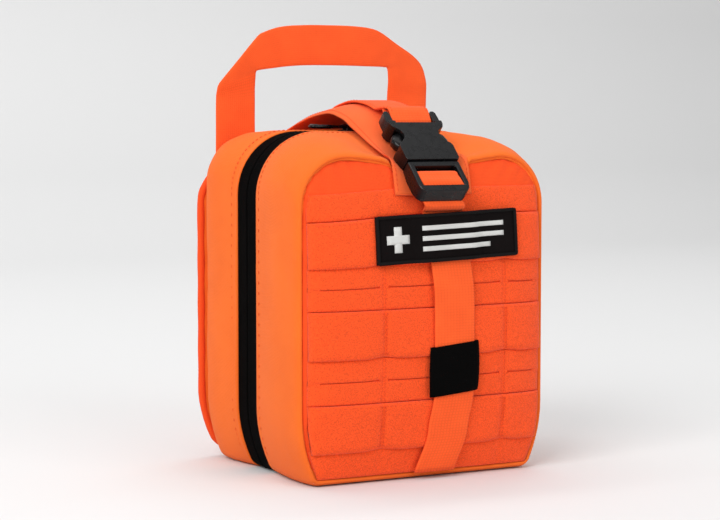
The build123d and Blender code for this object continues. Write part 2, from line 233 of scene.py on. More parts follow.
def metal(name, colour, roughness):
    """Brushed metal with short scratches along its length."""
    n = Nodes(name)
    scratches = n.add("ShaderNodeTexNoise", Scale=1.0, Detail=4.0)
    n.link(n.scaled("Object", (3000, 3000, 60)), "Vector", scratches, "Vector")
    n.link(n.tones(scratches, colour, (0.3, 0.8), (0.7, 1.0)), "Color", n.shader, "Base Color")
    n.link(n.bump(scratches, "Fac", 0.25, 0.00005), "Normal", n.shader, "Normal")
    n.surface(Metallic=1.0, Roughness=roughness)
    return n.material


ORANGE = (1.0, 0.17, 0.02)
# ORANGE is the Cordura's own colour. The next colour is a darker, redder copy of it: painted shade for the
# front, which the key light from the left reaches less than the side.
ORANGE_FRONT_PAINTED_SHADE = (1.0, 0.09, 0.015)
ORANGE_WEB = (1.0, 0.115, 0.021)
BLACK = (0.0025, 0.0025, 0.003)

MATERIALS = {
    "nylon": woven("orange_cordura", ORANGE, 1250.0, 1250.0, 0.00022),
    # The front's copy of the orange Cordura, darker and redder than the side's: painted shade.
    "nylon_front_painted_shade": woven("orange_cordura_front_painted_shade", ORANGE_FRONT_PAINTED_SHADE, 1250.0, 1250.0, 0.00022),
    # The flap's copy of the orange Cordura, a little darker and paler than the side's, toned for how light
    # falls on the flap: painted light and shade.
    "nylon_flap_painted_lighting": woven("orange_cordura_flap_painted_lighting", (1.0, 0.145, 0.034), 1250.0, 1250.0, 0.00022),
    # The loop cloth takes the front's darker, redder orange, which is painted shade.
    "loop": fuzzy("orange_loop_cloth_painted_shade", ORANGE_FRONT_PAINTED_SHADE),
    "web": webbing("orange_webbing_weave", ORANGE_WEB, 520.0),
    "handle_web": webbing("orange_handle_weave", ORANGE_WEB, 760.0),
    "thread": woven("orange_thread", (0.85, 0.08, 0.02), 3000.0, 3000.0, 0.0001),
    "tape": woven("black_zip_tape", (0.0015, 0.0013, 0.0013), 1900.0, 2600.0, 0.0002, 0.9, 0.0, 0.2, 0.03),
    "coil": moulded("black_zip_coil", (0.004, 0.004, 0.004), 0.4),
    "elastic": webbing("black_elastic_weave", (0.0015, 0.0013, 0.0013), 900.0, 0.0, 0.4, 0.03),
    "plastic": moulded("black_acetal", BLACK),
    "patch": woven("black_twill", (0.006, 0.004, 0.004), 1500.0, 3000.0, 0.0002, 0.9, 0.0, 0.2, 0.08),
    "border": webbing("black_overlock", (0.005, 0.004, 0.004), 1400.0, 0.0, 0.5, 0.12),
    "grey": webbing("light_embroidery", (0.66, 0.66, 0.64), 1800.0, 0.1),
    "lining": woven("charcoal_lining", (0.05, 0.05, 0.055), 1600.0, 1600.0, 0.0001),
    "foam": fuzzy("charcoal_foam", (0.04, 0.04, 0.045)),
    "crepe": woven("beige_crepe", (0.6, 0.42, 0.26), 900.0, 500.0, 0.0004, 0.9),
    "gauze": woven("white_gauze_weave", (0.78, 0.77, 0.72), 1100.0, 1100.0, 0.0003, 0.9),
    "film": moulded("pale_packet_film", (0.42, 0.5, 0.56), 0.28, 200.0, 0.0002, 0.5),
    "steel": metal("brushed_shears_steel", (0.62, 0.62, 0.64), 0.3),
    "dark_metal": moulded("black_painted_metal", (0.006, 0.006, 0.006), 0.3, 1200.0),
}


# ---------------------------------------------------------------- mesh helpers

# Places across a strip from edge to edge, closer together at its rounded edges.
WEB_COLUMNS = (-1, -0.985, -0.93, -0.75, -0.5, -0.25, 0, 0.25, 0.5, 0.75, 0.93, 0.985, 1)


def placed(name, data):
    """A new object in the scene."""
    obj = bpy.data.objects.new(name, data)
    bpy.context.scene.collection.objects.link(obj)
    return obj


def mesh_of(name, verts, faces):
    mesh = bpy.data.meshes.new(name)
    mesh.from_pydata([tuple(v) for v in verts], [], faces)
    return mesh


def make(name, verts, faces, uvs, material, body, nodes=(), bevel=0.0):
    """A mesh object with UVs in metres, riding on a body and standing for CAD nodes."""
    mesh = mesh_of(name, verts, faces)
    layer = mesh.uv_layers.new(name="UVMap")
    for polygon in mesh.polygons:
        polygon.use_smooth = True
        for loop in polygon.loop_indices:
            layer.data[loop].uv = uvs[mesh.loops[loop].vertex_index]
    obj = placed(name, mesh)
    obj.data.materials.append(MATERIALS[material])
    tidy_mesh(obj)
    if bevel:
        add_bevel(obj, bevel)
    if body:
        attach(obj, body)
    if nodes:
        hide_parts(*nodes)
    return obj


def tidy_mesh(obj):
    """Merges doubled points and turns every face outwards."""
    work = bmesh.new()
    work.from_mesh(obj.data)
    bmesh.ops.remove_doubles(work, verts=work.verts, dist=1e-6)
    bmesh.ops.recalc_face_normals(work, faces=work.faces)
    work.to_mesh(obj.data)
    work.free()


def add_bevel(obj, width, segments=3, angle=35):
    """Rounds hard edges and keeps broad faces flat."""
    bevel = obj.modifiers.new("round", "BEVEL")
    bevel.width = width * MM
    bevel.segments = segments
    bevel.limit_method = "ANGLE"
    bevel.angle_limit = math.radians(angle)
    bevel.harden_normals = True


def sheet_rows(rows, wrap, caps):
    """Vertices, faces and UVs of a skin over rows of equal length."""
    count = len(rows[0])
    verts = [p for row in rows for p in row]
    faces = []
    for r in range(len(rows) - 1):
        for c in range(count if wrap else count - 1):
            d = (c + 1) % count
            faces.append((r * count + c, r * count + d, (r + 1) * count + d, (r + 1) * count + c))
    if caps:
        faces.append(tuple(reversed(range(count))))
        faces.append(tuple(range((len(rows) - 1) * count, len(rows) * count)))
    longest = max(rows, key=lambda row: sum((row[i + 1] - row[i]).length for i in range(count - 1)))
    across = [0.0]
    for i in range(count - 1):
        across.append(across[-1] + (longest[i + 1] - longest[i]).length)
    along = [0.0]
    for below, above in zip(rows, rows[1:]):
        along.append(along[-1] + max((above[i] - below[i]).length for i in (0, count // 4, count // 2)))
    uvs = [(across[c], along[r]) for r in range(len(rows)) for c in range(count)]
    return verts, faces, uvs


def closed_rows(rows):
    """A skin over rows whose last row joins the first, with both ends closed."""
    verts, faces, uvs = sheet_rows(rows, False, False)
    count = len(rows[0])
    last = (len(rows) - 1) * count
    faces += [(last + c, last + c + 1, c + 1, c) for c in range(count - 1)]
    faces.append(tuple(r * count for r in range(len(rows))))
    faces.append(tuple(reversed([r * count + count - 1 for r in range(len(rows))])))
    return verts, faces, uvs


def skin(name, rows, material, body, nodes=()):
    """A piece whose skin goes round each row and is capped at both ends."""
    verts, faces, uvs = sheet_rows(rows, True, True)
    return make(name, verts, faces, uvs, material, body, nodes)


def flat_uvs(verts):
    """UVs of a piece that lies across the front or back, in metres."""
    return [(v.x, v.z) for v in verts]


def turns(count):
    """Angles evenly spaced round a circle."""
    return [k * 2 * math.pi / count for k in range(count)]


def squared(value, power):
    """A sine or cosine pushed towards a rounded square."""
    return math.copysign(abs(value) ** power, value)


def tangent_at(path, i):
    return (path[min(i + 1, len(path) - 1)] - path[max(i - 1, 0)]).normalized()


def both_sides(columns):
    """The columns across a strip's upper side, then back along its lower side."""
    return [(1, c) for c in columns] + [(-1, c) for c in reversed(columns)]


def curve_through(points, steps):
    """A smooth path through the given points."""
    padded = [points[0]] + list(points) + [points[-1]]
    path = []
    for i in range(1, len(padded) - 2):
        p0, p1, p2, p3 = padded[i - 1:i + 3]
        for s in range(steps):
            t = s / steps
            path.append(0.5 * ((2 * p1) + (p2 - p0) * t + (2 * p0 - 5 * p1 + 4 * p2 - p3) * t * t
                               + (3 * p1 - p0 - 3 * p2 + p3) * t ** 3))
    path.append(padded[-2])
    return path


def resample(points, step):
    """Points spaced evenly along a path, step mm apart."""
    total = sum((b - a).length for a, b in zip(points, points[1:]))
    count = int(total / (step * MM))
    spaced = [points[0]]
    travelled = 0.0
    target = total / count
    for a, b in zip(points, points[1:]):
        length = (b - a).length
        while travelled + length >= target * len(spaced) - 1e-9 and len(spaced) < count:
            spaced.append(a + (b - a) * ((target * len(spaced) - travelled) / length))
        travelled += length
    return spaced + [points[-1]]


def strip(name, path, width, thickness, material, body, nodes, x_mid=LINE_X):
    """A webbing strip: a rounded flat section swept along a path of points at x = 0."""
    half = width / 2 * MM
    thick = thickness / 2 * MM
    rows = []
    for i, point in enumerate(path):
        normal = tangent_at(path, i).cross(Vector((1, 0, 0))).normalized()
        row = []
        for side, c in both_sides(WEB_COLUMNS):
            edge = math.sqrt(max(0.0, 1 - abs(c) ** 14)) if abs(c) < 1 else 0.0
            off = normal * (side * thick * (0.25 + 0.75 * edge))
            row.append(point + off + Vector((x_mid * MM + c * half, 0, 0)))
        rows.append(row)
    verts, faces, _ = sheet_rows(rows, True, True)
    uvs = []
    along = 0.0
    for r, row in enumerate(rows):
        along += (path[r] - path[r - 1]).length if r else 0.0
        uvs += [(point.x - row[0].x, along) for point in row]
    return make(name, verts, faces, uvs, material, body, nodes)


def tube_ring(name, centres, radius, material, body, nodes, swell=None):
    """A closed round cord of cloth along a ring of points."""
    rows = []
    count = len(centres)
    for i, point in enumerate(centres):
        tangent = (centres[(i + 1) % count] - centres[i - 1]).normalized()
        side = tangent.cross(Vector((0, 1, 0))).normalized()
        up = side.cross(tangent)
        r = radius * MM * (swell(i) if swell else 1.0)
        rows.append([point + side * math.cos(a) * r + up * math.sin(a) * r for a in turns(10)])
    rows.append(rows[0])
    verts, faces, uvs = sheet_rows(rows, True, False)
    return make(name, verts, faces, uvs, material, body, nodes)


class Stitches:
    """Collects short raised stitches into one mesh."""

    def __init__(self):
        self.verts = []
        self.faces = []

    def run(self, points, normal, pitch, length, radius):
        """Stitches along a line of points, standing off along a normal."""
        total = sum((b - a).length for a, b in zip(points, points[1:]))
        count = max(1, int(total / (pitch * MM)))
        for k in range(count):
            start = self.place(points, (k + 0.15) * total / count)
            end = self.place(points, (k + 0.15) * total / count + length * MM)
            self.one(start, end, normal, radius * MM)

    @staticmethod
    def place(points, distance):
        for a, b in zip(points, points[1:]):
            step = (b - a).length
            if distance <= step:
                return a + (b - a) * (distance / step if step else 0)
            distance -= step
        return points[-1]

    def one(self, a, b, normal, radius):
        along = b - a
        if along.length < 1e-6:
            return
        side = along.cross(normal).normalized() * radius
        up = normal.normalized() * radius
        base = len(self.verts)
        self.verts += [a - up * 0.4]
        for t in (0.25, 0.75):
            middle = a + along * t
            self.verts += [middle + up, middle + side, middle - up, middle - side]
        self.verts += [b - up * 0.4]
        for k in range(4):
            j = (k + 1) % 4
            self.faces.append((base, base + 1 + j, base + 1 + k))
            self.faces.append((base + 1 + k, base + 1 + j, base + 5 + j, base + 5 + k))
            self.faces.append((base + 5 + k, base + 5 + j, base + 9))

    def build(self, name, body, material="thread", nodes=()):
        make(name, self.verts, self.faces, flat_uvs(self.verts), material, body, nodes)


# All stitches, by body and thread colour; each group becomes one mesh at the end.
stitches = {}


def thread(body, colour="orange"):
    """The group of stitches for a body and colour."""
    return stitches.setdefault((body, colour), Stitches())


def stitch_along(body, line, lift, pitch, length, radius):
    """Stitches along a line, lifted off the cloth that it curves over."""
    for a, b in zip(line, line[1:]):
        normal = (b - a).cross(Vector((-1, 0, 0))).normalized()
        if normal.z < 0:
            normal = -normal
        off = normal * lift * MM
        thread(body).run([a + off, b + off], normal, pitch, length, radius)


def ring_stitches(body, colour, inset, y, pitch, length, radius):
    """Stitches round the case at a depth, left out along the base."""
    points = [at(x, y, z) for x, z in outline(inset, y)[18:-18]]
    for a, b in zip(points, points[1:]):
        middle = (a + b) / 2
        outward = Vector((middle.x, 0, middle.z - CASE_MID_Z * MM)).normalized()
        thread(body, colour).run([a, b], outward, pitch, length, radius)


# ---------------------------------------------------------------- the two halves

# Points along each stretch of the case's outline, from the middle of the base and round.
SEGMENTS = (10, 8, 26, 18, 26, 18, 26, 8, 10)

# Depth, then the case's half width, top height and top corner radius there.
CASE_SHAPE = (
    (-65, 78.2, 180.6, 30), (-58, 78.4, 182.0, 29), (-50, 79.2, 185.2, 28), (-38, 79.0, 188.2, 29),
    (-22, 76.8, 190.2, 33), (-9.6, 74.4, 191.0, 37), (9.6, 74.4, 191.4, 37), (22, 76.4, 191.8, 32),
    (36, 78.0, 190.8, 28), (46, 77.4, 188.6, 27), (54, 74.5, 184.0, 27),
)

# (inset, depth) of the shell's turned edge, from inside the wall out to the side.
ZIP_EDGE = ((1.8, 12.3), (0.7, 11.7), (-0.1, 11.9), (-0.35, 12.8), (0.1, 14), (0, 15.6))


def case_shape(y):
    """Half width, top height and top corner radius of the case at a depth."""
    for (y0, *first), (y1, *second) in zip(CASE_SHAPE, CASE_SHAPE[1:]):
        if y <= y1:
            t = min(max((y - y0) / (y1 - y0), 0.0), 1.0)
            return [a + (b - a) * t for a, b in zip(first, second)]
    return CASE_SHAPE[-1][1:]


def drift(y):
    """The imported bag's slight lean to one side, by depth."""
    return -0.055 * y if y < 0 else -0.03 * y


def base_tuck(z):
    """How much narrower the case is close to the ground."""
    return 10.0 * max(0.0, 1 - z / 38.0) ** 2


def outline(inset, y):
    """Points round the case at a depth, from the middle of the base, as (x, z)."""
    half, top, high_r = case_shape(y)
    half -= inset
    top -= inset
    high_r = max(4.0, high_r - inset)
    bottom = max(inset, 0.0)
    low_r = max(1.5, 5.0 - inset)
    path = []

    def line(a, b, count):
        for k in range(count):
            t = k / count
            path.append((a[0] + (b[0] - a[0]) * t, a[1] + (b[1] - a[1]) * t))

    def arc(cx, cz, radius, start, count):
        for k in range(count):
            angle = math.radians(start + 90 * k / count)
            path.append((cx + radius * math.cos(angle), cz + radius * math.sin(angle)))

    line((0, bottom), (half - low_r, bottom), SEGMENTS[0])
    arc(half - low_r, bottom + low_r, low_r, -90, SEGMENTS[1])
    line((half, bottom + low_r), (half, top - high_r), SEGMENTS[2])
    arc(half - high_r, top - high_r, high_r, 0, SEGMENTS[3])
    line((half - high_r, top), (high_r - half, top), SEGMENTS[4])
    arc(high_r - half, top - high_r, high_r, 90, SEGMENTS[5])
    line((-half, top - high_r), (-half, bottom + low_r), SEGMENTS[6])
    arc(low_r - half, bottom + low_r, low_r, 180, SEGMENTS[7])
    line((low_r - half, bottom), (0, bottom), SEGMENTS[8])
    return [(x * (1 - base_tuck(z) / half) + drift(y), z) for x, z in path]


def shrunk(ring, share, centre_z=CASE_MID_Z):
    return [(x * share, centre_z + (z - centre_z) * share) for x, z in ring]


def under_flap(y):
    """Height of the flap's underside over the front shoulder."""
    line = ((-12, 204.0), (-22, 191.5), (-34, 186.0), (-45, 179.0), (-53, 171.5), (-60, 165.0), (-67, 157.0))
    for (y1, z1), (y0, z0) in zip(line, line[1:]):
        if y >= y0:
            return z0 + (z1 - z0) * min(1.0, (y - y0) / (y1 - y0))
    return line[-1][1]


def pressed(x, y, z):
    """A height on the front shoulder after the tight flap and buckle press it in."""
    if z < 120 or y > -12:
        return z
    aside = abs(x - LINE_X)
    depth = 7.0 * smooth((-12.0 - y) / 34.0) * (1 - 0.6 * smooth((-54.0 - y) / 10.0))
    hollow = depth * (1 - smooth((aside - 20.0) / 30.0))
    channel = (1 - smooth((aside - 15.0) / 12.0)) * max(0.0, z - hollow - under_flap(y))
    return z - (hollow + channel) * smooth((z - 140.0) / 20.0)


def cloth_ripple(x, y, z):
    """Soft folds in the side and top cloth, none on the base."""
    if z < 3.0:
        return 0.0
    fade = smooth(z / 18.0)
    broad = noisy(x, y * 1.2, z * 0.7, 34.0) * 0.9
    creases = noisy(x * 1.3 + 40, y * 0.5, z * 1.6, 13.0) * 0.32
    return fade * (broad + creases)


def tub(name, profile, inner, body, nodes):
    """A thin-walled half of the case, from outer and inner (inset, y, share) profiles."""
    rows = []
    for number, (inset, y, share) in enumerate(profile + inner):
        ring = outline(inset, y)
        if share < 1:
            ring = shrunk(ring, share, 88.0)
        rippled = share == 1 and 12 < abs(y) < 50 and number < len(profile)
        row = []
        for x, z in ring:
            if rippled:
                length = math.hypot(x, z - CASE_MID_Z) or 1.0
                ripple = cloth_ripple(x, y, z)
                x += x / length * ripple
                z = max(z + (z - CASE_MID_Z) / length * ripple, 0.0) if z > 3 else z
            row.append(at(x, y, pressed(x, y, z)))
        rows.append(row)
    skin(name, rows, "nylon", body, nodes)


def side_cloth(side, depths):
    """The turned edge beside the zip, then the plain side cloth at each depth."""
    return [(inset, side * y, 1) for inset, y in ZIP_EDGE] + [(0, side * y, 1) for y in depths]


def rear_half():
    outer = side_cloth(1, (18, 24, 30, 36, 42, 46))
    outer += [(0.4, 49.2, 1), (1.6, 51.6, 1), (4.0, 52.8, 1), (9, 53, 1)]
    outer += [(16, 53, share) for share in (1, 0.75, 0.4, 0.05)]
    inner = [(16, 50.6, 0.05), (16, 50.6, 0.4), (16, 50.6, 0.75), (12, 50.6, 1), (5, 48.5, 1)]
    inner += [(WALL, y, 1) for y in (44, 26, 16, 12.9)]
    tub("rear_case_cloth", outer, inner, "rear_half", ("rear_shell", "rear_binding"))


def front_half():
    outer = side_cloth(-1, (18, 24, 30, 36, 42, 47, 52, 56))
    outer += [(0.2, -59.5, 1), (0.8, -62, 1), (1.8, -63.7, 1), (2.9, -64.1, 1), (3.8, -63.2, 1)]
    outer += [(4.3, -61.6, 1), (6, -61, 1)] + [(16, -61, share) for share in (1, 0.7, 0.3, 0.05)]
    inner = [(16, -59.6, 0.05), (16, -59.6, 0.3), (16, -59.6, 0.7), (10, -59.6, 1), (5, -58, 1)]
    inner += [(WALL, y, 1) for y in (-50, -30, -16, -12.9)]
    tub("front_case_cloth", outer, inner, "front_half", ("front_shell", "front_binding"))


def zip_tape(side, body, name):
    """A black tape almost flush with the cloth."""
    profile = [(1.6, 15.0), (0.7, 12.6), (0.35, 11.0), (0.2, 6.0), (0.05, 2.4), (0.0, 1.0), (0.3, 0.3),
               (1.2, 0.2), (2.0, 0.8), (2.3, 7.0), (2.4, 15.0)]
    rows = [[at(x, side * y, z) for x, z in outline(inset, side * y)[8:-8]] for inset, y in profile]
    verts, faces, uvs = closed_rows(rows)
    make(f"{name}_zip_tape_cloth", verts, faces, uvs, "tape", body, (f"{name}_zip_tape",))
    ring_stitches(body, "black", 0.25, side * 9.4, 2.6, 1.8, 0.18)


def zip_coil(side, body, name):
    """The coil behind the tape's edge, ridged turn by turn."""
    y = side * 1.25
    path = resample([at(x, y, z) for x, z in outline(3.1, y)[16:-16]], 1.2)
    across = Vector((0, 1, 0))
    rows = []
    for i, point in enumerate(path):
        out = tangent_at(path, i).cross(across)
        radius = (1.15 if i % 2 else 0.75) * MM
        rows.append([point + across * math.cos(a) * radius + out * math.sin(a) * radius for a in turns(8)])
    skin(f"{name}_coil_teeth", rows, "coil", body, (f"{name}_zip_coil",))


def hinge_cloth():
    """The cloth strip that joins the halves underneath."""
    depths = [-13.6 + 27.2 * k / 12 for k in range(13)]
    rows = [[at(x, y, 2.5) for x in (-49, -25, 0, 25, 49)] for y in depths]
    rows += [[at(x, y, 3.3) for x in (-49, -25, 0, 25, 49)] for y in reversed(depths)]
    verts, faces, uvs = closed_rows(rows)
    nodes = ("rear_hinge_strip", "front_hinge_strip")
    obj = make("base_hinge_cloth", verts, faces, uvs, "nylon", None, nodes)
    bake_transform(obj)


# ---------------------------------------------------------------- front panel

# The padded front: its seam's depth, and the middle, reach and depth of its bulge.
SEAM_Y = -61.6
FACE_MID_Z = 87.0
FACE_HALF_HIGH = 90.0
FACE_HALF_WIDE = 76.5
FACE_BULGE = 10.8


def face_y(x, z, off=0.0):
    """Depth of the padded front at a point, in mm, with a lift off it."""
    up = max(0.0, 1 - abs((z - FACE_MID_Z) / FACE_HALF_HIGH) ** 2.2)
    out = max(0.0, 1 - abs((x - SEAM_X) / FACE_HALF_WIDE) ** 5.0)
    press = 2.0 * (1 - smooth((abs(x - LINE_X) - 8.0) / 14.0)) * smooth((z - 140) / 20.0)
    quilt = 0.35 * noisy(x, 0, z, 26.0)
    pleats = 0.7 * noisy(x * 1.6, 0, z * 0.35, 13.0) * smooth((z - 156.0) / 6.0)
    return SEAM_Y - FACE_BULGE * up ** 0.75 * out ** 0.6 - off + press + (quilt + pleats) * up * out


def face_point(x, z, off=0.0):
    return at(x, face_y(x, z, off), z)


def seam_ring(inset):
    """The front seam's outline, from the middle of its base, pressed in under the flap."""
    return [(x, pressed(x, -62.0, z)) for x, z in outline(4.0 + inset, -62.0)]


def centred(ring, share):
    """A ring shrunk towards the middle of the front panel."""
    return [(SEAM_X + (x - SEAM_X) * share, FACE_MID_Z + (z - FACE_MID_Z) * share) for x, z in ring]


def front_panel():
    """The padded panel inside the seam."""
    rows = []
    ring = seam_ring(0.2)
    for share in (1.0, 0.99, 0.975, 0.95, 0.91, 0.86, 0.78, 0.68, 0.56, 0.42, 0.27, 0.12, 0.03):
        row = []
        for i, (x, z) in enumerate(centred(ring, share)):
            pucker = 0.6 * math.sin(i * 1.9 + 2.1 * math.sin(i * 0.37)) * smooth((share - 0.86) / 0.1)
            tuck = 1.2 * smooth((share - 0.965) / 0.035)
            row.append(face_point(x, z, pucker * (1 - smooth((share - 0.97) / 0.03)) - tuck))
        rows.append(row)
    rows += [[at(x, -60.4, z) for x, z in centred(ring, share)] for share in (0.03, 0.5, 1.0)]
    verts, faces, _ = sheet_rows(rows, True, False)
    count = len(ring)
    last = (len(rows) - 1) * count
    faces += [(last + c, last + (c + 1) % count, (c + 1) % count, c) for c in range(count)]
    uvs = flat_uvs(verts)
    # The padded front wears the darker, redder copy of the orange Cordura: painted shade.
    panel = make("front_padded_panel", verts, faces, uvs, "nylon_front_painted_shade", "front_half", ("front_panel",))


def panel_piping():
    """The thin cord of cloth in the groove between the side cloth and the panel."""
    centres = []
    for i, (x, z) in enumerate(seam_ring(0.5)):
        wander = 0.25 * math.sin(i * 1.7 + 1.3 * math.sin(i * 0.31))
        centres.append(at(x, -62.0 + wander, z))
    tube_ring("front_seam_piping", centres, 0.9, "nylon", "front_half", ("panel_piping",))


def half_width_at(z, margin):
    """How far a row reaches to each side of the panel's middle at a height, inside the seam."""
    half, top, radius = case_shape(-62.0)
    half -= 4.0
    top -= 4.0
    radius -= 4.0
    low = top - radius
    reach = half - base_tuck(z)
    if z > low:
        depth = min(z - low, radius - 0.5)
        reach = half - radius + math.sqrt(radius * radius - depth * depth)
    return reach - margin


def row_z(x, z):
    """Rows sag a little towards the left-hand seam, more so the higher they are."""
    return z - 3.4 * smooth((z - 90.0) / 60.0) * smooth((SEAM_X - x) / 75.0)


def plate_point(s, t, z0, z1, lift, thick, x_range, margin, hang, outer):
    """One point of a band: s runs across it and t up it."""
    z = z0 + (z1 - z0) * t
    wide = half_width_at(z, margin)
    low, high = x_range or (SEAM_X - wide, SEAM_X + wide)
    x = low + (high - low) * s
    nearest = min(abs(x - sx) for sx in STITCH_X)
    between = smooth(nearest / 12.0)
    loose = (1 - t) ** 3 * between * hang
    z = row_z(x, z) - 0.9 * loose
    if not outer:
        return face_point(x, z, lift + 0.5 * loose)
    edge = min(smooth(t / 0.05), smooth((1 - t) / 0.05), smooth(s / 0.012), smooth((1 - s) / 0.012))
    sewn = 0.5 * (1 - smooth(nearest / 2.4)) * thick
    wave = 0.16 * noisy(x, z0, z, 7.0) * edge
    return face_point(x, z, lift + thick * (0.45 + 0.55 * edge) - sewn + wave + 0.9 * loose)


def plate(name, z0, z1, lift, thick, nodes, x_range=None, margin=1.5, hang=0.0):
    """A flat band of loop cloth on the padded front; hang lets its lower edge droop and stand off."""
    columns = 84
    rows = []
    for t in (0.0, 0.02, 0.06, 0.14, 0.3, 0.5, 0.7, 0.86, 0.94, 0.98, 1.0):
        rows.append([plate_point(c / columns, t, z0, z1, lift, thick, x_range, margin, hang, True)
                     for c in range(columns + 1)])
    for t in (1.0, 0.5, 0.0):
        rows.append([plate_point(c / columns, t, z0, z1, lift - 0.3, thick, x_range, margin, hang, False)
                     for c in range(columns + 1)])
    verts, faces, _ = closed_rows(rows)
    make(name, verts, faces, flat_uvs(verts), "loop", "front_half", nodes)


def bar_stitches(low, lift):
    """Paired upright lines of tight stitches that hold a band at each column."""
    for x in STITCH_X:
        for dx in (-0.9, 0.9):
            line = [face_point(x + dx, row_z(x, low + 1 + (ROW - 2) * k / 12), lift) for k in range(13)]
            thread("front_half").run(line, FORWARD, 2.0, 1.7, 0.22)


def slit_band(name, low, middle):
    """A recessed band in two halves, bridged where the columns of stitches hold it."""
    nodes = (f"slit_band_{name}",)
    high = low + ROW
    plate(f"slit_band_{name}_low_half", low + 0.3, middle - 0.45, 0.1, 1.0, nodes)
    plate(f"slit_band_{name}_high_half", middle + 0.45, high - 0.3, 0.1, 1.0, nodes, hang=0.6)
    edge = half_width_at(middle, 1.5)
    for k, x in enumerate((SEAM_X - edge + 3,) + STITCH_X + (SEAM_X + edge - 3,)):
        reach = 2.6 if 0 < k < 4 else 3.0
        plate(f"slit_bridge_{name}_{k}", middle - 1.2, middle + 1.2, 0.15, 0.95, nodes,
              (x - reach, x + reach))
    bar_stitches(low, 0.85)


def panel_rows():
    """Raised loop strips, and between them recessed bands slit along the middle."""
    z = [ROW_LOW + ROW * n for n in range(7)]
    plate("loop_band_base", 4.0, z[0] + 1, 0.0, 0.8, (), margin=0.6)
    plate("plain_front_band", z[5] + 0.5, z[5] + 15, 0.1, 0.9, ("plain_band",))
    for name, low in (("lower", z[0]), ("middle", z[2]), ("upper", z[4])):
        plate(f"loop_strip_{name}", low, low + ROW, 0.5, 2.1, (f"raised_strip_{name}",),
              hang=1.0)
        for t in (1.8, ROW - 1.6):
            wide = half_width_at(low + t, 5.0)
            xs = [SEAM_X - wide + 2 * wide * k / 60 for k in range(61)]
            line = [face_point(x, row_z(x, low + t), 2.62) for x in xs]
            thread("front_half").run(line, FORWARD, 3.0, 2.0, 0.15)
        bar_stitches(low, 2.15)
    for name, low in (("lower", z[1]), ("upper", z[3])):
        slit_band(name, low, low + ROW / 2)


# ---------------------------------------------------------------- strap, keeper, patch

SLOPE = math.sqrt(0.5)
BUCKLE_Y = -40.3
BUCKLE_Z = CASE_H + 5.7


def on_slope(s, n, x=0.0):
    """A point on the buckle: s down the slope from its bar, n off the slope."""
    return at(x, BUCKLE_Y - SLOPE * (s + n), BUCKLE_Z - SLOPE * (s - n))


def bar_wrap(s, radius, first, last, steps):
    """Part of a turn round a buckle bar, by angle from the slope's outward side."""
    points = []
    for k in range(steps + 1):
        angle = math.radians(first + (last - first) * k / steps)
        points.append(on_slope(s + math.sin(angle) * radius, math.cos(angle) * radius))
    return points


def strap_x(z):
    """The strap's sideways place by height: it leans left near the base and under the buckle."""
    line = ((0, 7.0), (28, 13.5), (47, 16.0), (99, 15.6), (149, 10.2), (170, 7.0))
    for (z0, x0), (z1, x1) in zip(line, line[1:]):
        if z <= z1:
            return x0 + (x1 - x0) * smooth((z - z0) / (z1 - z0))
    return line[-1][1]


def front_strap():
    """Webbing up the front, behind the badge, through the frame and round its bar."""
    body = [at(0, face_y(LINE_X, z, 4.0), z) for z in range(4, 150, 3)]
    bend = [body[-1], on_slope(59, -5.7), on_slope(52, -5.2), on_slope(48.4, -3.6)]
    path = body + curve_through(bend, 6)[1:]
    path += bar_wrap(44.5, 2.9, 120, 380, 20)[1:]
    path += [on_slope(49, 3.4), on_slope(54, 3.9)]
    obj = strip("front_strap_webbing", path, WEB, 1.5, "web", "front_half", ("front_strap",))
    for vertex in obj.data.vertices:
        z = vertex.co.z / MM
        vertex.co.x += (strap_x(z) - LINE_X) * MM * (1 - smooth((z - 146) / 12.0))


def sleeve():
    """A flat tube of elastic round the strap."""
    low, high = 47.5, 75.0
    half, inner, outer = 15.2, 3.4, 6.2
    columns = (-1, -0.97, -0.85, -0.5, 0, 0.5, 0.85, 0.97, 1)
    rows = []
    for k in range(15):
        t = k / 14
        z = low + (high - low) * t
        lip = 0.35 * (1 - smooth(min(t, 1 - t) / 0.08))
        bulge = 0.5 * math.sin(t * math.pi)
        row = []
        for side, c in both_sides(columns):
            thick = (outer - inner) * (0.3 + 0.7 * (1 - abs(c) ** 8))
            lift = inner + thick - lip + bulge * 0.6 if side > 0 else inner - 0.7
            wide = half + bulge * 0.8 - (0.0 if side > 0 else 0.6)
            row.append(at(strap_x(z) + c * wide, face_y(LINE_X, z, lift), z + 1.4 * c))
        rows.append(row)
    verts, faces, _ = sheet_rows(rows, True, True)
    make("elastic_keeper", verts, faces, [(v.z, v.x) for v in verts], "elastic", "keeper", ("strap_keeper",))


PATCH_X = (-32.0, 57.0)
PATCH_Z = (119.5, 145.5)


def rectangle(x0, x1, z0, z1, across, up):
    """Points round a rectangle, with so many steps across and up."""
    ends = [(x0, z0), (x1, z0), (x1, z1), (x0, z1)]
    points = []
    for k, steps in enumerate((across, up, across, up)):
        (xa, za), (xb, zb) = ends[k], ends[(k + 1) % 4]
        points += [(xa + (xb - xa) * j / steps, za + (zb - za) * j / steps) for j in range(steps)]
    return points


def patch_off(x):
    """The patch rides up where it passes over the strap."""
    over = 1 - smooth((abs(x - 12.0) - 14.0) / 9.0)
    return 2.9 + 2.7 * over


def patch_point(x, z, off):
    """A point on the patch, which is sewn on slightly tilted."""
    tilt = 0.036 * (x - PATCH_X[0])
    return face_point(x, z + tilt, patch_off(x) + off)


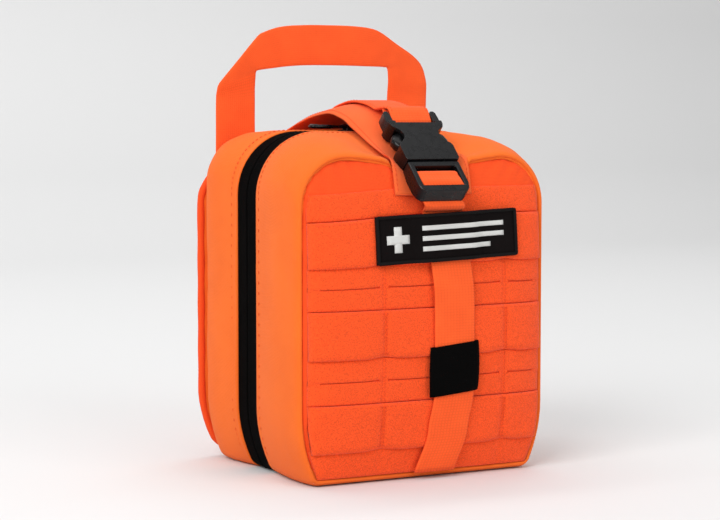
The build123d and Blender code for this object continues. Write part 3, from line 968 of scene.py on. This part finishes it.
def patch_sheet(name, x0, x1, z0, z1, lift, thick, material, nodes, round_edge=0.04):
    """A rectangle of cloth or embroidery that lies on the patch's surface."""
    rows = []
    columns = max(4, int((x1 - x0) / 1.6))
    xs = [x0 + (x1 - x0) * c / columns for c in range(columns + 1)]
    for t in (0, 0.03, 0.1, 0.3, 0.5, 0.7, 0.9, 0.97, 1.0):
        z = z0 + (z1 - z0) * t
        row = []
        for c, x in enumerate(xs):
            s = c / columns
            edge = min(smooth(t / 0.06), smooth((1 - t) / 0.06),
                       smooth(s / round_edge), smooth((1 - s) / round_edge))
            row.append(patch_point(x, z, lift + thick * (0.3 + 0.7 * edge)))
        rows.append(row)
    for t in (1.0, 0.5, 0.0):
        rows.append([patch_point(x, z0 + (z1 - z0) * t, lift) for x in xs])
    verts, faces, _ = closed_rows(rows)
    make(name, verts, faces, flat_uvs(verts), material, "patch", nodes)


def patch():
    """The black badge: twill, an overlocked border, and a plain plus sign with bars."""
    x0, x1 = PATCH_X
    z0, z1 = PATCH_Z
    patch_sheet("badge_twill", x0, x1, z0, z1, 0.0, 1.6, "patch", ("patch_base",))
    centres = [patch_point(x, z, 1.3) for x, z in rectangle(x0 + 0.8, x1 - 0.8, z0 + 0.8, z1 - 0.8, 90, 26)]
    tube_ring("badge_overlock_border", centres, 1.0, "border", "patch", ("patch_border",),
              lambda i: 1.0 + 0.1 * (i % 2))
    x = x0 + 13
    z = (z0 + z1) / 2
    nodes = ("patch_cross",)
    arm, reach = 2.4, 7.0
    patch_sheet("badge_plus_upright", x - arm, x + arm, z - reach, z + reach, 1.5, 0.7, "grey", nodes, 0.1)
    patch_sheet("badge_plus_level", x - reach, x + reach, z - arm, z + arm, 1.55, 0.7, "grey", nodes)
    for k, dz in enumerate((-5.6, 0.0, 5.6)):
        end = x + (58 if k == 0 else 67)
        patch_sheet(f"badge_bar_{k}", x + 14, end, z + dz - 1.3, z + dz + 1.3, 1.5, 0.6, "grey", nodes, 0.02)


# ---------------------------------------------------------------- buckle

def slab(name, outline_points, n0, n1, body, nodes, bevel):
    """A moulding with an outline in (x, s) on the buckle's slope, mirrored about its middle."""
    full = outline_points + [(-x, s) for x, s in reversed(outline_points)]
    count = len(full)
    verts = [on_slope(s, n0, LINE_X + x) for x, s in full] + [on_slope(s, n1, LINE_X + x) for x, s in full]
    faces = [tuple(range(count)), tuple(reversed(range(count, 2 * count)))]
    faces += [(k, (k + 1) % count, count + (k + 1) % count, count + k) for k in range(count)]
    return make(name, verts, faces, flat_uvs(verts), "plastic", body, nodes, bevel)


def buckle_box(x0, x1, s0, s1, n0, n1):
    """Vertices and faces of a plain box in the buckle's directions, for cutting."""
    verts = [on_slope(s, n, LINE_X + x) for x in (x0, x1) for s in (s0, s1) for n in (n0, n1)]
    return verts, [(0, 1, 3, 2), (4, 6, 7, 5), (0, 4, 5, 1), (2, 3, 7, 6), (0, 2, 6, 4), (1, 5, 7, 3)]


def cut(obj, boxes):
    """Cuts boxes from a moulding, under its bevel, and keeps the result as its mesh."""
    for box in boxes:
        tool = placed("cutter", mesh_of("cutter", *buckle_box(*box)))
        tidy_mesh(tool)
        modifier = obj.modifiers.new("cut", "BOOLEAN")
        modifier.operation = "DIFFERENCE"
        modifier.solver = "EXACT"
        modifier.object = tool
        obj.modifiers.move(len(obj.modifiers) - 1, 0)
        graph = bpy.context.evaluated_depsgraph_get()
        others = [m for m in obj.modifiers if m.name != "cut"]
        for other in others:
            other.show_viewport = False
        graph.update()
        mesh = bpy.data.meshes.new_from_object(obj.evaluated_get(graph))
        for other in others:
            other.show_viewport = True
        obj.modifiers.remove(obj.modifiers["cut"])
        old = obj.data
        obj.data = mesh
        bpy.data.meshes.remove(old)
        bpy.data.objects.remove(tool)


def buckle_bar(name, s, body):
    """A round bar across the buckle that webbing turns on."""
    radius = 1.75
    rows = [[on_slope(s + radius * math.sin(a), radius * math.cos(a), LINE_X + x) for a in turns(16)]
            for x in (-15, -8, 0, 8, 15)]
    skin(name, rows, "plastic", body)


def buckle_female():
    """The socket half: a waisted plate, two horns for the webbing bar, and open sides."""
    shape = [(12.4, 7.4), (12.7, 1.5), (12.9, -1.4), (13.8, -2.8), (15.6, -2.8), (16.7, -1.4), (17.0, 3),
             (16.8, 8.6), (15.8, 11.0), (13.6, 12.4), (11.8, 13.8), (11.0, 16.4), (11.5, 19.0), (13.6, 21.6),
             (16.0, 23.4), (16.8, 25.2), (16.8, 34.0), (16.0, 35.6)]
    housing = slab("buckle_housing", shape, -6.0, 5.6, "flap", ("buckle_female",), 0.9)
    cut(housing, [(-14.2, 14.2, 11.4, 40, -3.0, 3.0), (-20, 20, -6, 6.0, 3.9, 9),
                  (-20, 20, -6, 6.0, -9, -3.6)])
    buckle_bar("buckle_housing_bar", 2.5, "flap")


def buckle_male():
    """The plug half: a frame with a slot for the webbing and a guide tongue."""
    shape = [(15.6, 35.9), (16.2, 36.8), (16.2, 52.0), (15.0, 56.0), (12.8, 58.0)]
    ladder = slab("buckle_ladder_frame", shape, -5.0, 4.4, "front_half", ("buckle_male",), 1.0)
    cut(ladder, [(-12.7, 12.7, 39.4, 53.4, -9, 9)])
    tongue = [(2.2, 18.0), (3.0, 19.4), (3.2, 35.0)]
    slab("buckle_guide_tongue", tongue, -2.0, 2.0, "front_half", (), 0.4)
    buckle_bar("buckle_ladder_bar", 44.5, "front_half")


def prong(side, name):
    """A springy arm with a rounded head that shows in the side window."""
    sections = [(13.4, 11.6, 2.8), (14.6, 12.6, 3.9), (18, 13.3, 4.4), (21.5, 12.9, 4.0), (24.4, 11.4, 2.6),
                (28, 10.2, 1.9), (33, 10.0, 1.8), (36.5, 10.0, 1.9)]
    rows = []
    for s, middle, half in sections:
        row = []
        for angle in turns(12):
            x = middle + half * squared(math.cos(angle), 0.6)
            row.append(on_slope(s, 2.85 * squared(math.sin(angle), 0.5), LINE_X + side * x))
        rows.append(row)
    skin(f"buckle_{name}_arm", rows, "plastic", f"{name}_arm", (name,))


# ---------------------------------------------------------------- flap and handle

def flap():
    """The wide flap: cloth arched over the zip, with webbing sewn along its middle."""
    top = CASE_H
    middle = curve_through([at(0, y, top + rise) for y, rise in (
        (49, -3.6), (46, -0.6), (42, 2.6), (34, 7.6), (22, 12.4), (5, 14.6), (-12, 13.0), (-25, 8.4),
        (-34, 1.4), (-45, -10.4), (-56, -21.6), (-64, -29.4), (-68.4, -35))], 7)
    edge = curve_through([at(0, y, top + rise) for y, rise in (
        (51, -6.5), (48, -3.2), (44, -0.6), (36, 3.0), (23, 7.0), (5, 9.4), (-11, 6.2), (-21, 1.4),
        (-32, -3.6), (-44, -8.8), (-54, -12.6), (-64.6, -16.6), (-69.6, -35))], 7)
    half_widths = (37, 36, 34.5, 32, 29, 27, 26, 25.5, 25, 24.5, 24, 24, 24)
    rows = []
    last = len(middle) - 1
    for i, centre in enumerate(middle):
        place = i / last * (len(half_widths) - 1)
        k = min(int(place), len(half_widths) - 2)
        half = half_widths[k] + (half_widths[k + 1] - half_widths[k]) * (place - k)
        normal = tangent_at(middle, i).cross(Vector((1, 0, 0))).normalized()
        row = []
        for side, c in both_sides(WEB_COLUMNS):
            rounded = math.sqrt(max(0.0, 1 - abs(c) ** 16)) if abs(c) < 1 else 0.0
            hem = 0.35 * (1 - smooth(abs(abs(c) - 0.9) / 0.1))
            base = centre.lerp(edge[i], abs(c) ** 2.2)
            wave = 0.35 * noisy(c * 20, i * 1.2, 3, 7.0) * (1 - abs(2 * i / last - 1))
            off = side * ((0.25 + 0.5 * rounded) + (hem if side > 0 else 0)) + wave
            row.append(base + normal * off * MM + Vector(((LINE_X + c * half) * MM, 0, 0)))
        rows.append(row)
    # The flap cloth takes its own copy of the orange Cordura, toned for the light on the flap: painted light
    # and shade.
    cloth = skin("top_flap_cloth", rows, "nylon_flap_painted_lighting", None, ("top_flap", "flap_anchor"))
    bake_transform(cloth)
    for c in (2, 10):
        stitch_along("flap", [row[c] for row in rows[3:-1]], 0.1, 3.2, 2.2, 0.22)
    flap_webbing(top)


def flap_webbing(top):
    """The webbing along the flap, looped round the buckle's bar and sewn back."""
    points = [(37, top + 7.2), (31, top + 10.6), (22, top + 13.8), (5, top + 16.2), (-12, top + 14.8),
              (-24, top + 11.8)]
    path = curve_through([at(0, y, z) for y, z in points], 5)
    path += curve_through([path[-1], on_slope(-6.0, 3.4), on_slope(0.5, 3.3)], 4)[1:]
    path += bar_wrap(2.5, 2.75, -10, 205, 16)[1:]
    path += [on_slope(-4.5, -2.0), on_slope(-9, -0.6)]
    strip("flap_strap_webbing", path, WEB, 1.5, "web", "flap", ("flap_webbing",))
    for x in (-11, 11):
        line = [p + Vector(((LINE_X + x) * MM, 0, 0)) for p in path[:32]]
        stitch_along("flap", line, 0.75, 3.0, 2.1, 0.2)


def matching(edge, reference, spaced):
    """Points on an edge at the same share of the way as evenly spaced points on its partner."""
    steps = len(reference) - 1
    result = []
    k = 0
    for point in spaced:
        while k < steps - 1 and (point - reference[k]).dot(reference[k + 1] - reference[k]) > (
                reference[k + 1] - reference[k]).length_squared:
            k += 1
        part = reference[k + 1] - reference[k]
        t = min(max((point - reference[k]).dot(part) / (part.length_squared or 1.0), 0.0), 1.0)
        result.append(edge[k].lerp(edge[k + 1], t))
    return result


def fold_lean(t):
    """How far the webbing stands forward along its length: it steps out at each corner fold."""
    left = smooth((t - 0.228) / 0.012)
    right = 1 - smooth((t - 0.745) / 0.03)
    return -1.3 * left * right


def handle():
    """One length of webbing: a leg each side, folded over at the corners into the grip."""
    y = REAR_Y + 1.1
    outer = [(-69.5, 136), (-69.5, 160), (-69.3, 185), (-69.2, 205), (-68.6, 216.5), (-67.0, 219.5),
             (-55, 233), (-43.5, 246), (-40, 248.6), (-28, 252.4), (-12, 253.7), (4, 253.9), (18, 253.8),
             (31, 252.8), (39, 250.4), (50, 243.6), (61, 237), (67.5, 230.6), (70.6, 221), (71.4, 212),
             (71.0, 200), (70.0, 180), (69.5, 160), (69.5, 136)]
    inner = [(-44.5, 136), (-44.5, 160), (-44.4, 185), (-44.4, 205), (-44.2, 224.6), (-43.6, 226.2),
             (-41, 226.9), (-36, 227.6), (-32, 228.1), (-24, 229.1), (-12, 229.9), (4, 230.1), (18, 230),
             (28, 229.8), (34, 229.7), (38, 229.6), (41.5, 229.4), (43.6, 228.6), (44.2, 222), (44.3, 212),
             (44.3, 200), (44.4, 180), (44.5, 160), (44.5, 136)]
    edge = curve_through([at(x, y, z) for x, z in outer], 5)
    outside = resample(edge, 2.6)
    within = matching(curve_through([at(x, y, z) for x, z in inner], 5), edge, outside)
    columns = (0, 0.008, 0.035, 0.12, 0.25, 0.4, 0.5, 0.6, 0.75, 0.88, 0.965, 0.992, 1)
    rows = []
    uvs = []
    travelled = 0.0
    for i, out_point in enumerate(outside):
        travelled += (out_point - outside[i - 1]).length if i else 0.0
        lean = fold_lean(i / (len(outside) - 1))
        row = []
        for side, c in both_sides(columns):
            rounded = 0.25 + 0.75 * math.sqrt(max(0.0, 1 - abs(2 * c - 1) ** 14))
            point = within[i].lerp(out_point, c)
            wave = 0.25 * noisy(point.x / MM, 7, point.z / MM, 18.0)
            row.append(point + Vector((0, (-side * 0.75 * rounded + lean + wave) * MM, 0)))
            uvs.append((c * WEB * MM, travelled))
        rows.append(row)
    verts, faces, _ = sheet_rows(rows, True, True)
    obj = make("handle_webbing", verts, faces, uvs, "handle_web", None, ("carry_handle", "handle_anchors"))
    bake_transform(obj)


# ---------------------------------------------------------------- zip pulls

def zip_pull(side, name):
    """A moulded grip with ridges on the zip pull; the CAD slider body keeps its shape."""
    pin_x = side * 11.0
    pin_z = CASE_H + 1.7
    rows = []
    sections = ((-1.2, 1.4, 0.6, 0.7), (0, 2.1, 1.3, 1.4), (2.2, 2.1, 0.8, 1.0), (8, 1.9, 0.6, 0.8),
                (11, 2.4, 0.8, 1.1), (12.5, 3.2, 0.9, 1.4), (18, 3.4, 0.9, 1.5), (22.5, 3.1, 0.8, 1.3),
                (24, 2.2, 0.4, 0.8))
    for d, half, low, high in sections:
        row = []
        for angle in turns(12):
            z = (high if math.sin(angle) > 0 else low) * squared(math.sin(angle), 0.5)
            ridge = 0.25 * math.sin(d * 3.4) if 12 < d < 23 and math.sin(angle) > 0.5 else 0.0
            row.append(at(pin_x + side * d, half * squared(math.cos(angle), 0.5), pin_z + z + ridge))
        rows.append(row)
    skin(f"zip_pull_{name}_grip", rows, "plastic", f"pull_{name}", (f"zip_pull_{name}",))


# ---------------------------------------------------------------- back board

# Depths of the back board's two faces.
BACK_Y = (REAR_Y + 1.9, REAR_Y + 5.4)


def flat_web(name, x0, x1, z0, z1, y0, y1, along, nodes):
    """A flat rectangle of webbing on the back board."""
    corners_in = [(x0, z0), (x1, z0), (x1, z1), (x0, z1)]
    mesh = bmesh.new()
    front = [mesh.verts.new(at(x, y0, z)) for x, z in corners_in]
    back = [mesh.verts.new(at(x, y1, z)) for x, z in corners_in]
    mesh.faces.new(front)
    mesh.faces.new(list(reversed(back)))
    for k in range(4):
        j = (k + 1) % 4
        mesh.faces.new((front[k], back[k], back[j], front[j]))
    for z in [150 + 4 * k for k in range(12)]:
        geometry = mesh.verts[:] + mesh.edges[:] + mesh.faces[:]
        bmesh.ops.bisect_plane(mesh, geom=geometry, plane_co=at(0, 0, z), plane_no=(0, 0, 1))
    data = bpy.data.meshes.new("work")
    mesh.to_mesh(data)
    mesh.free()
    verts = [v.co.copy() for v in data.vertices]
    faces = [tuple(p.vertices) for p in data.polygons]
    bpy.data.meshes.remove(data)
    uvs = flat_uvs(verts) if along == "Z" else [(v.z, v.x) for v in verts]
    make(name, verts, faces, uvs, "web", "rear_panel", nodes, 0.5)


def back_board():
    """The padded board that tears off the back, with its bound edge."""
    y0, y1 = BACK_Y
    low, high = 5.0, CASE_H - 17.0
    half, top, _ = case_shape(50.0)

    def ring(inset):
        return [((x - drift(50.0)) / half * (78.6 - inset) - 1.5,
                 low + inset + z / top * (high - low - 2 * inset)) for x, z in outline(0.0, 50.0)]

    profile = [(3, y0, 0.03), (3, y0, 0.5), (3, y0, 1), (2.2, y0 + 0.5, 1), (2.0, (y0 + y1) / 2, 1),
               (2.2, y1 - 0.4, 1), (3, y1, 1), (6, y1 + 0.1, 1)]
    profile += [(10, y1, share) for share in (1, 0.75, 0.5, 0.25, 0.03)]
    rows = [[at(x, y, z) for x, z in shrunk(ring(inset), share)] for inset, y, share in profile]
    verts, faces, _ = sheet_rows(rows, True, True)
    board = make("back_board_cloth", verts, faces, flat_uvs(verts), "nylon", "rear_panel", ("rear_board",))
    centres = [at(x, (y0 + y1) / 2, z) for x, z in ring(2.2)]
    # The binding takes the front's darker, redder orange, which is painted shade.
    tube_ring("back_board_binding", centres, 2.3, "nylon_front_painted_shade", "rear_panel",
              ("rear_board_binding",), lambda i: 1.0 + 0.05 * math.sin(i * 1.3))


def back_stitches(a, b):
    thread("rear_panel").run([a, b], -FORWARD, 2.0, 1.6, 0.24)


def back_rows():
    """Three rows of webbing across the board, sewn down at four places each."""
    y = BACK_Y[1]
    for k, z in enumerate((28, 78.8, 129.6)):
        flat_web(f"back_row_{k}", -62, 62, z, z + ROW, y + 0.1, y + 1.4, "X", ("rear_rows",))
        for x in (-57.1, -19.05, 19.05, 57.1):
            for dx in (-0.8, 0.8):
                back_stitches(at(x + dx, y + 1.5, z + 1), at(x + dx, y + 1.5, z + ROW - 1))


def mount_strap(name, x):
    """An upright strap over the rows, sewn at the top and held by a snap at the bottom."""
    y = BACK_Y[1]
    half = WEB / 2
    flat_web(f"mount_strap_{name}", x - half, x + half, 12, 160, y + 1.6, y + 3.0, "Z", ("rear_straps",))
    for z in (156, 135):
        back_stitches(at(x - 11, y + 3.1, z), at(x + 11, y + 3.1, z))
    profile = ((6.2, 3.0), (6.2, 3.7), (5.6, 4.2), (4.2, 4.4), (3.6, 4.0), (2.0, 4.1), (0.3, 4.2))
    rows = [[at(x + r * math.cos(a), y + rise, 24 + r * math.sin(a)) for a in turns(28)]
            for r, rise in profile]
    skin(f"snap_button_{name}", rows, "dark_metal", "rear_panel", ("rear_snaps",))


# ---------------------------------------------------------------- inside

# The rear divider's face, the height of the two rolls, and the middle of the shears.
DIVIDER_Y = 27.8
ROLL_Z = 116.0
SHEARS_X = 11.7


def lining(name, y0, y1, top, material, body, nodes, half, low):
    """A thin board or divider cut to an arched shape."""
    wide, high, _ = case_shape(50.0)
    shape = [((x - drift(50.0)) / wide * half, low + z / high * (top - low)) for x, z in outline(0.0, 50.0)]
    rows = []
    near = [(0.03, y0), (0.6, y0), (0.97, y0)]
    for share, y in near + [(1.0, (y0 + y1) / 2)] + [(share, y1) for share, _ in reversed(near)]:
        ring = shrunk(shape, share, (low + top) / 2)
        rows.append([at(x, y + 0.25 * noisy(x, y, z, 30), z) for x, z in ring])
    verts, faces, _ = sheet_rows(rows, True, True)
    make(name, verts, faces, flat_uvs(verts), material, body, nodes)


def pillow(name, x0, x1, y0, y1, z0, z1, material, body, nodes):
    """A sealed packet: two bulged faces meeting in a flat crimped edge."""
    columns, lines = 28, 36
    plump = 0.9
    rows = []
    for side, r in both_sides(range(lines + 1)):
        t = r / lines
        z = z0 + (z1 - z0) * t
        above = min(t, 1 - t) * (z1 - z0)
        row = []
        for c in range(columns + 1):
            s = c / columns
            x = x0 + (x1 - x0) * s
            inward = min(s, 1 - s) * (x1 - x0)
            puff = smooth((inward - 3) / 12) ** 0.6 * smooth((above - 4) / 12) ** 0.6
            crimp = 0.12 * math.sin(z * 3.0) if inward < 3 or above < 4 else 0.0
            fold = 0.35 * noisy(x, side * 9, z, 14.0) * puff
            half = 0.25 + puff * ((y1 - y0) / 2 - 0.5) * plump
            row.append(at(x, (y0 + y1) / 2 + side * half + crimp + fold * 0.5, z))
        rows.append(row)
    verts, faces, _ = sheet_rows(rows, False, False)
    count = columns + 1
    total = len(rows)
    last = (total - 1) * count
    faces += [(last + c, last + c + 1, c + 1, c) for c in range(columns)]
    for a in range(total // 2 - 1):
        b = total - 1 - a
        faces.append((a * count, (a + 1) * count, (b - 1) * count, b * count))
        faces.append(tuple(k * count + columns for k in (b, b - 1, a + 1, a)))
    obj = make(name, verts, faces, flat_uvs(verts), material, body, nodes)


def bandage_roll(name, x_mid, radius, length, material, nodes):
    """A wound bandage: dished ends and soft layered sides."""
    half = length / 2
    near = [(half - 0.6, 0.4), (half - 0.4, radius * 0.3), (half - 0.5, radius * 0.6),
            (half - 0.3, radius * 0.9), (half - 0.9, radius - 0.3), (half - 3, radius - 0.1),
            (half / 2, radius)]
    profile = [(-d, r) for d, r in near] + [(0, radius - 0.15)] + near[::-1]
    rows = []
    for d, r in profile:
        row = []
        for angle in turns(48):
            out = r - 0.3 + 0.25 * math.sin(angle) + 0.12 * noisy(d, angle * 8, r, 5.0)
            x = x_mid + d + 0.15 * math.sin(r * 5 + angle)
            row.append(at(x, DIVIDER_Y - radius + out * math.cos(angle), ROLL_Z + out * math.sin(angle)))
        rows.append(row)
    skin(name, rows, material, "rear_half", nodes)


def rear_pocket():
    """A pocket of dark cloth across the rear divider, open at the top."""
    half_outline = [(-50, 27.8), (-50, 20), (-50, 12), (-48.5, 8.8), (-44, 8.2), (-22, 8.2)]
    half_inline = [(49.2, 27.8), (49.2, 12.4), (47.8, 9.8), (44, 9.1), (22, 9.1)]
    shape = half_outline + [(0, 8.2)] + [(-x, y) for x, y in reversed(half_outline)]
    shape += half_inline + [(0, 9.1)] + [(-x, y) for x, y in reversed(half_inline)]
    rows = []
    for z, bow in ((12.2, 0.0), (20, 0.4), (40, 0.8), (60, 0.8), (76, 0.3), (82, -0.2), (84, 0.0)):
        rows.append([at(x * (1 + 0.002 * bow), y - bow * (1 - abs(x) / 50), z) for x, y in shape])
    skin("rear_pocket_cloth", rows, "lining", "rear_half", ("rear_organiser",))


def roll_elastic(name, x, radius):
    """Three quarters of a turn of elastic round a bandage roll."""
    path = []
    for k in range(37):
        angle = math.radians(90 + 270 * k / 36)
        path.append(at(0, DIVIDER_Y - radius + (radius + 0.3) * math.cos(angle),
                       ROLL_Z + (radius + 0.3) * math.sin(angle)))
    strip(f"roll_elastic_{name}", path, 18, 0.8, "elastic", "rear_half", ("roll_elastics",), x)


def shears_elastic():
    """The loop that holds the shears to the front divider."""
    half_outline = [(-7.7, -50.9), (-7.7, -46), (-7.1, -43.9), (-5.2, -43.3)]
    half_inline = [(6.9, -50.9), (6.9, -46), (6.3, -44.3), (4.9, -44)]
    shape = half_outline + [(0, -43.2)] + [(-x, y) for x, y in reversed(half_outline)]
    shape += half_inline + [(0, -43.95)] + [(-x, y) for x, y in reversed(half_inline)]
    rows = [[at(SHEARS_X + x, y, z) for x, y in shape] for z in (114.2, 115, 119, 123, 123.8)]
    verts, faces, _ = sheet_rows(rows, True, True)
    make("shears_elastic", verts, faces, [(v.z, v.x) for v in verts], "elastic", "front_half",
         ("shears_keeper",))


def inside():
    """Foam boards, dividers, elastic loops and the contents."""
    rear, front = "rear_half", "front_half"
    lining("rear_foam_lining", 49.4, 50.5, CASE_H - 14, "foam", rear, ("rear_stiffener",), 59, 14)
    lining("front_foam_lining", -59.5, -58.5, 148, "foam", front, ("front_stiffener",), 59, 14)
    lining("rear_divider_cloth", 28.1, 29.1, 160, "lining", rear, ("rear_organiser",), 58, 12)
    lining("front_divider_cloth", -51.8, -51.0, 128, "lining", front, ("front_organiser",), 56, 12)
    rear_pocket()
    pillow("wound_dressing_packet", -46, 46, 12, 26, 13.2, 92, "film", rear, ("wound_dressing",))
    pillow("gauze_sachet", -52, -4, -57.8, -52.2, 14, 92, "gauze", front, ("gauze_packet",))
    pillow("glove_sachet", 4, 52, -57.8, -52.2, 14, 92, "film", front, ("glove_packet",))
    bandage_roll("crepe_bandage", -29, 12.6, 50, "crepe", ("bandage_roll_large",))
    bandage_roll("gauze_bandage", 29, 10.6, 44, "gauze", ("bandage_roll_small",))
    roll_elastic("left", -29, 13)
    roll_elastic("right", 29, 11)
    shears_elastic()


# ---------------------------------------------------------------- camera and light

def look_at(obj, target):
    direction = Vector(target) - obj.location
    obj.rotation_euler = direction.to_track_quat("-Z", "Y").to_euler()


def camera():
    """The viewpoint in front, a little to the left and slightly above."""
    data = bpy.data.cameras.new("photo_camera")
    data.sensor_width = 36.0
    data.lens = 98.4
    data.clip_start = 0.05
    obj = placed("photo_camera", data)
    obj.location = at(-530.5, -1002.0, 198.3)
    azimuth = math.radians(-27.77)
    elevation = math.radians(4.11)
    level = math.cos(elevation)
    forward = Vector((-math.sin(azimuth) * level, math.cos(azimuth) * level, -math.sin(elevation)))
    obj.rotation_euler = forward.to_track_quat("-Z", "Y").to_euler()
    bpy.context.scene.camera = obj


def stage():
    """A pale seamless floor that curves up behind."""
    profile = [(-3.0, 0.0), (-1.0, 0.0), (0.5, 0.0), (1.6, 0.0), (2.1, 0.1), (2.5, 0.4), (2.7, 0.9),
               (2.75, 2.6)]
    rows = [[Vector((x, y, z - 0.0003)) for x in (-4, -2, 0, 2, 4)] for y, z in profile]
    verts, faces, _ = sheet_rows(rows, False, False)
    mesh = mesh_of("studio_floor", verts, faces)
    for polygon in mesh.polygons:
        polygon.use_smooth = True
    obj = placed("studio_floor", mesh)
    n = Nodes("studio_grey")
    n.surface(Base_Color=(0.74, 0.74, 0.74, 1), Roughness=0.9)
    obj.data.materials.append(n.material)


def area_light(name, place, size, power, target=(0, 0, 0.1)):
    data = bpy.data.lights.new(name, "AREA")
    data.shape = "RECTANGLE"
    data.size, data.size_y = size
    data.energy = power
    obj = placed(name, data)
    obj.location = place
    look_at(obj, target)


def lights():
    """Soft daylight all round, a key from the left and a lit wall behind."""
    world = bpy.data.worlds.new("studio_air")
    world.use_nodes = True
    background = world.node_tree.nodes["Background"]
    background.inputs["Color"].default_value = (1, 1, 1, 1)
    background.inputs["Strength"].default_value = 0.47
    bpy.context.scene.world = world
    area_light("key", (-1.7, -1.1, 1.5), (1.4, 1.2), 38)
    area_light("front", (0.5, -1.9, 1.1), (1.2, 1.2), 12)
    area_light("top", (0.0, 0.2, 2.2), (2.0, 1.6), 12)
    area_light("wall", (0.0, 0.9, 2.6), (3.0, 0.6), 30, (0, 2.7, 0.9))


# ---------------------------------------------------------------- build

bpy.context.scene.view_settings.view_transform = "Standard"
camera()
stage()
lights()
rear_half()
front_half()
ring_stitches("rear_half", "orange", -0.15, 16.8, 3.0, 2.0, 0.22)
ring_stitches("front_half", "orange", -0.15, -16.8, 3.0, 2.0, 0.22)
for side, body, name in ((1, "rear_half", "rear"), (-1, "front_half", "front")):
    zip_tape(side, body, name)
    zip_coil(side, body, name)
hinge_cloth()
front_panel()
panel_piping()
panel_rows()
front_strap()
sleeve()
patch()
buckle_female()
buckle_male()
prong(-1, "prong_left")
prong(1, "prong_right")
flap()
handle()
zip_pull(-1, "left")
zip_pull(1, "right")
back_board()
back_rows()
mount_strap("left", -38.1)
mount_strap("right", 38.1)
inside()

for (body, colour), group in stitches.items():
    if colour == "black":
        group.build(f"{body}_tape_stitching", body, "tape")
    else:
        group.build(f"{body}_stitching", body, nodes=("bar_tacks",) if body == "front_half" else ())

# CAD nodes that show as they are, with the material that each one takes.
KEPT = {
    "rear_loop_field": "foam",
    "rear_hook_field": "foam",
    "shears_half_fixed": "steel",
    "shears_half_moving": "steel",
    "shears_rivet": "steel",
    "zip_slider_left": "dark_metal",
    "zip_slider_right": "dark_metal",
}
for node, material in KEPT.items():
    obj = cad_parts[node]
    for material_slot in obj.material_slots:
        material_slot.material = MATERIALS[material]
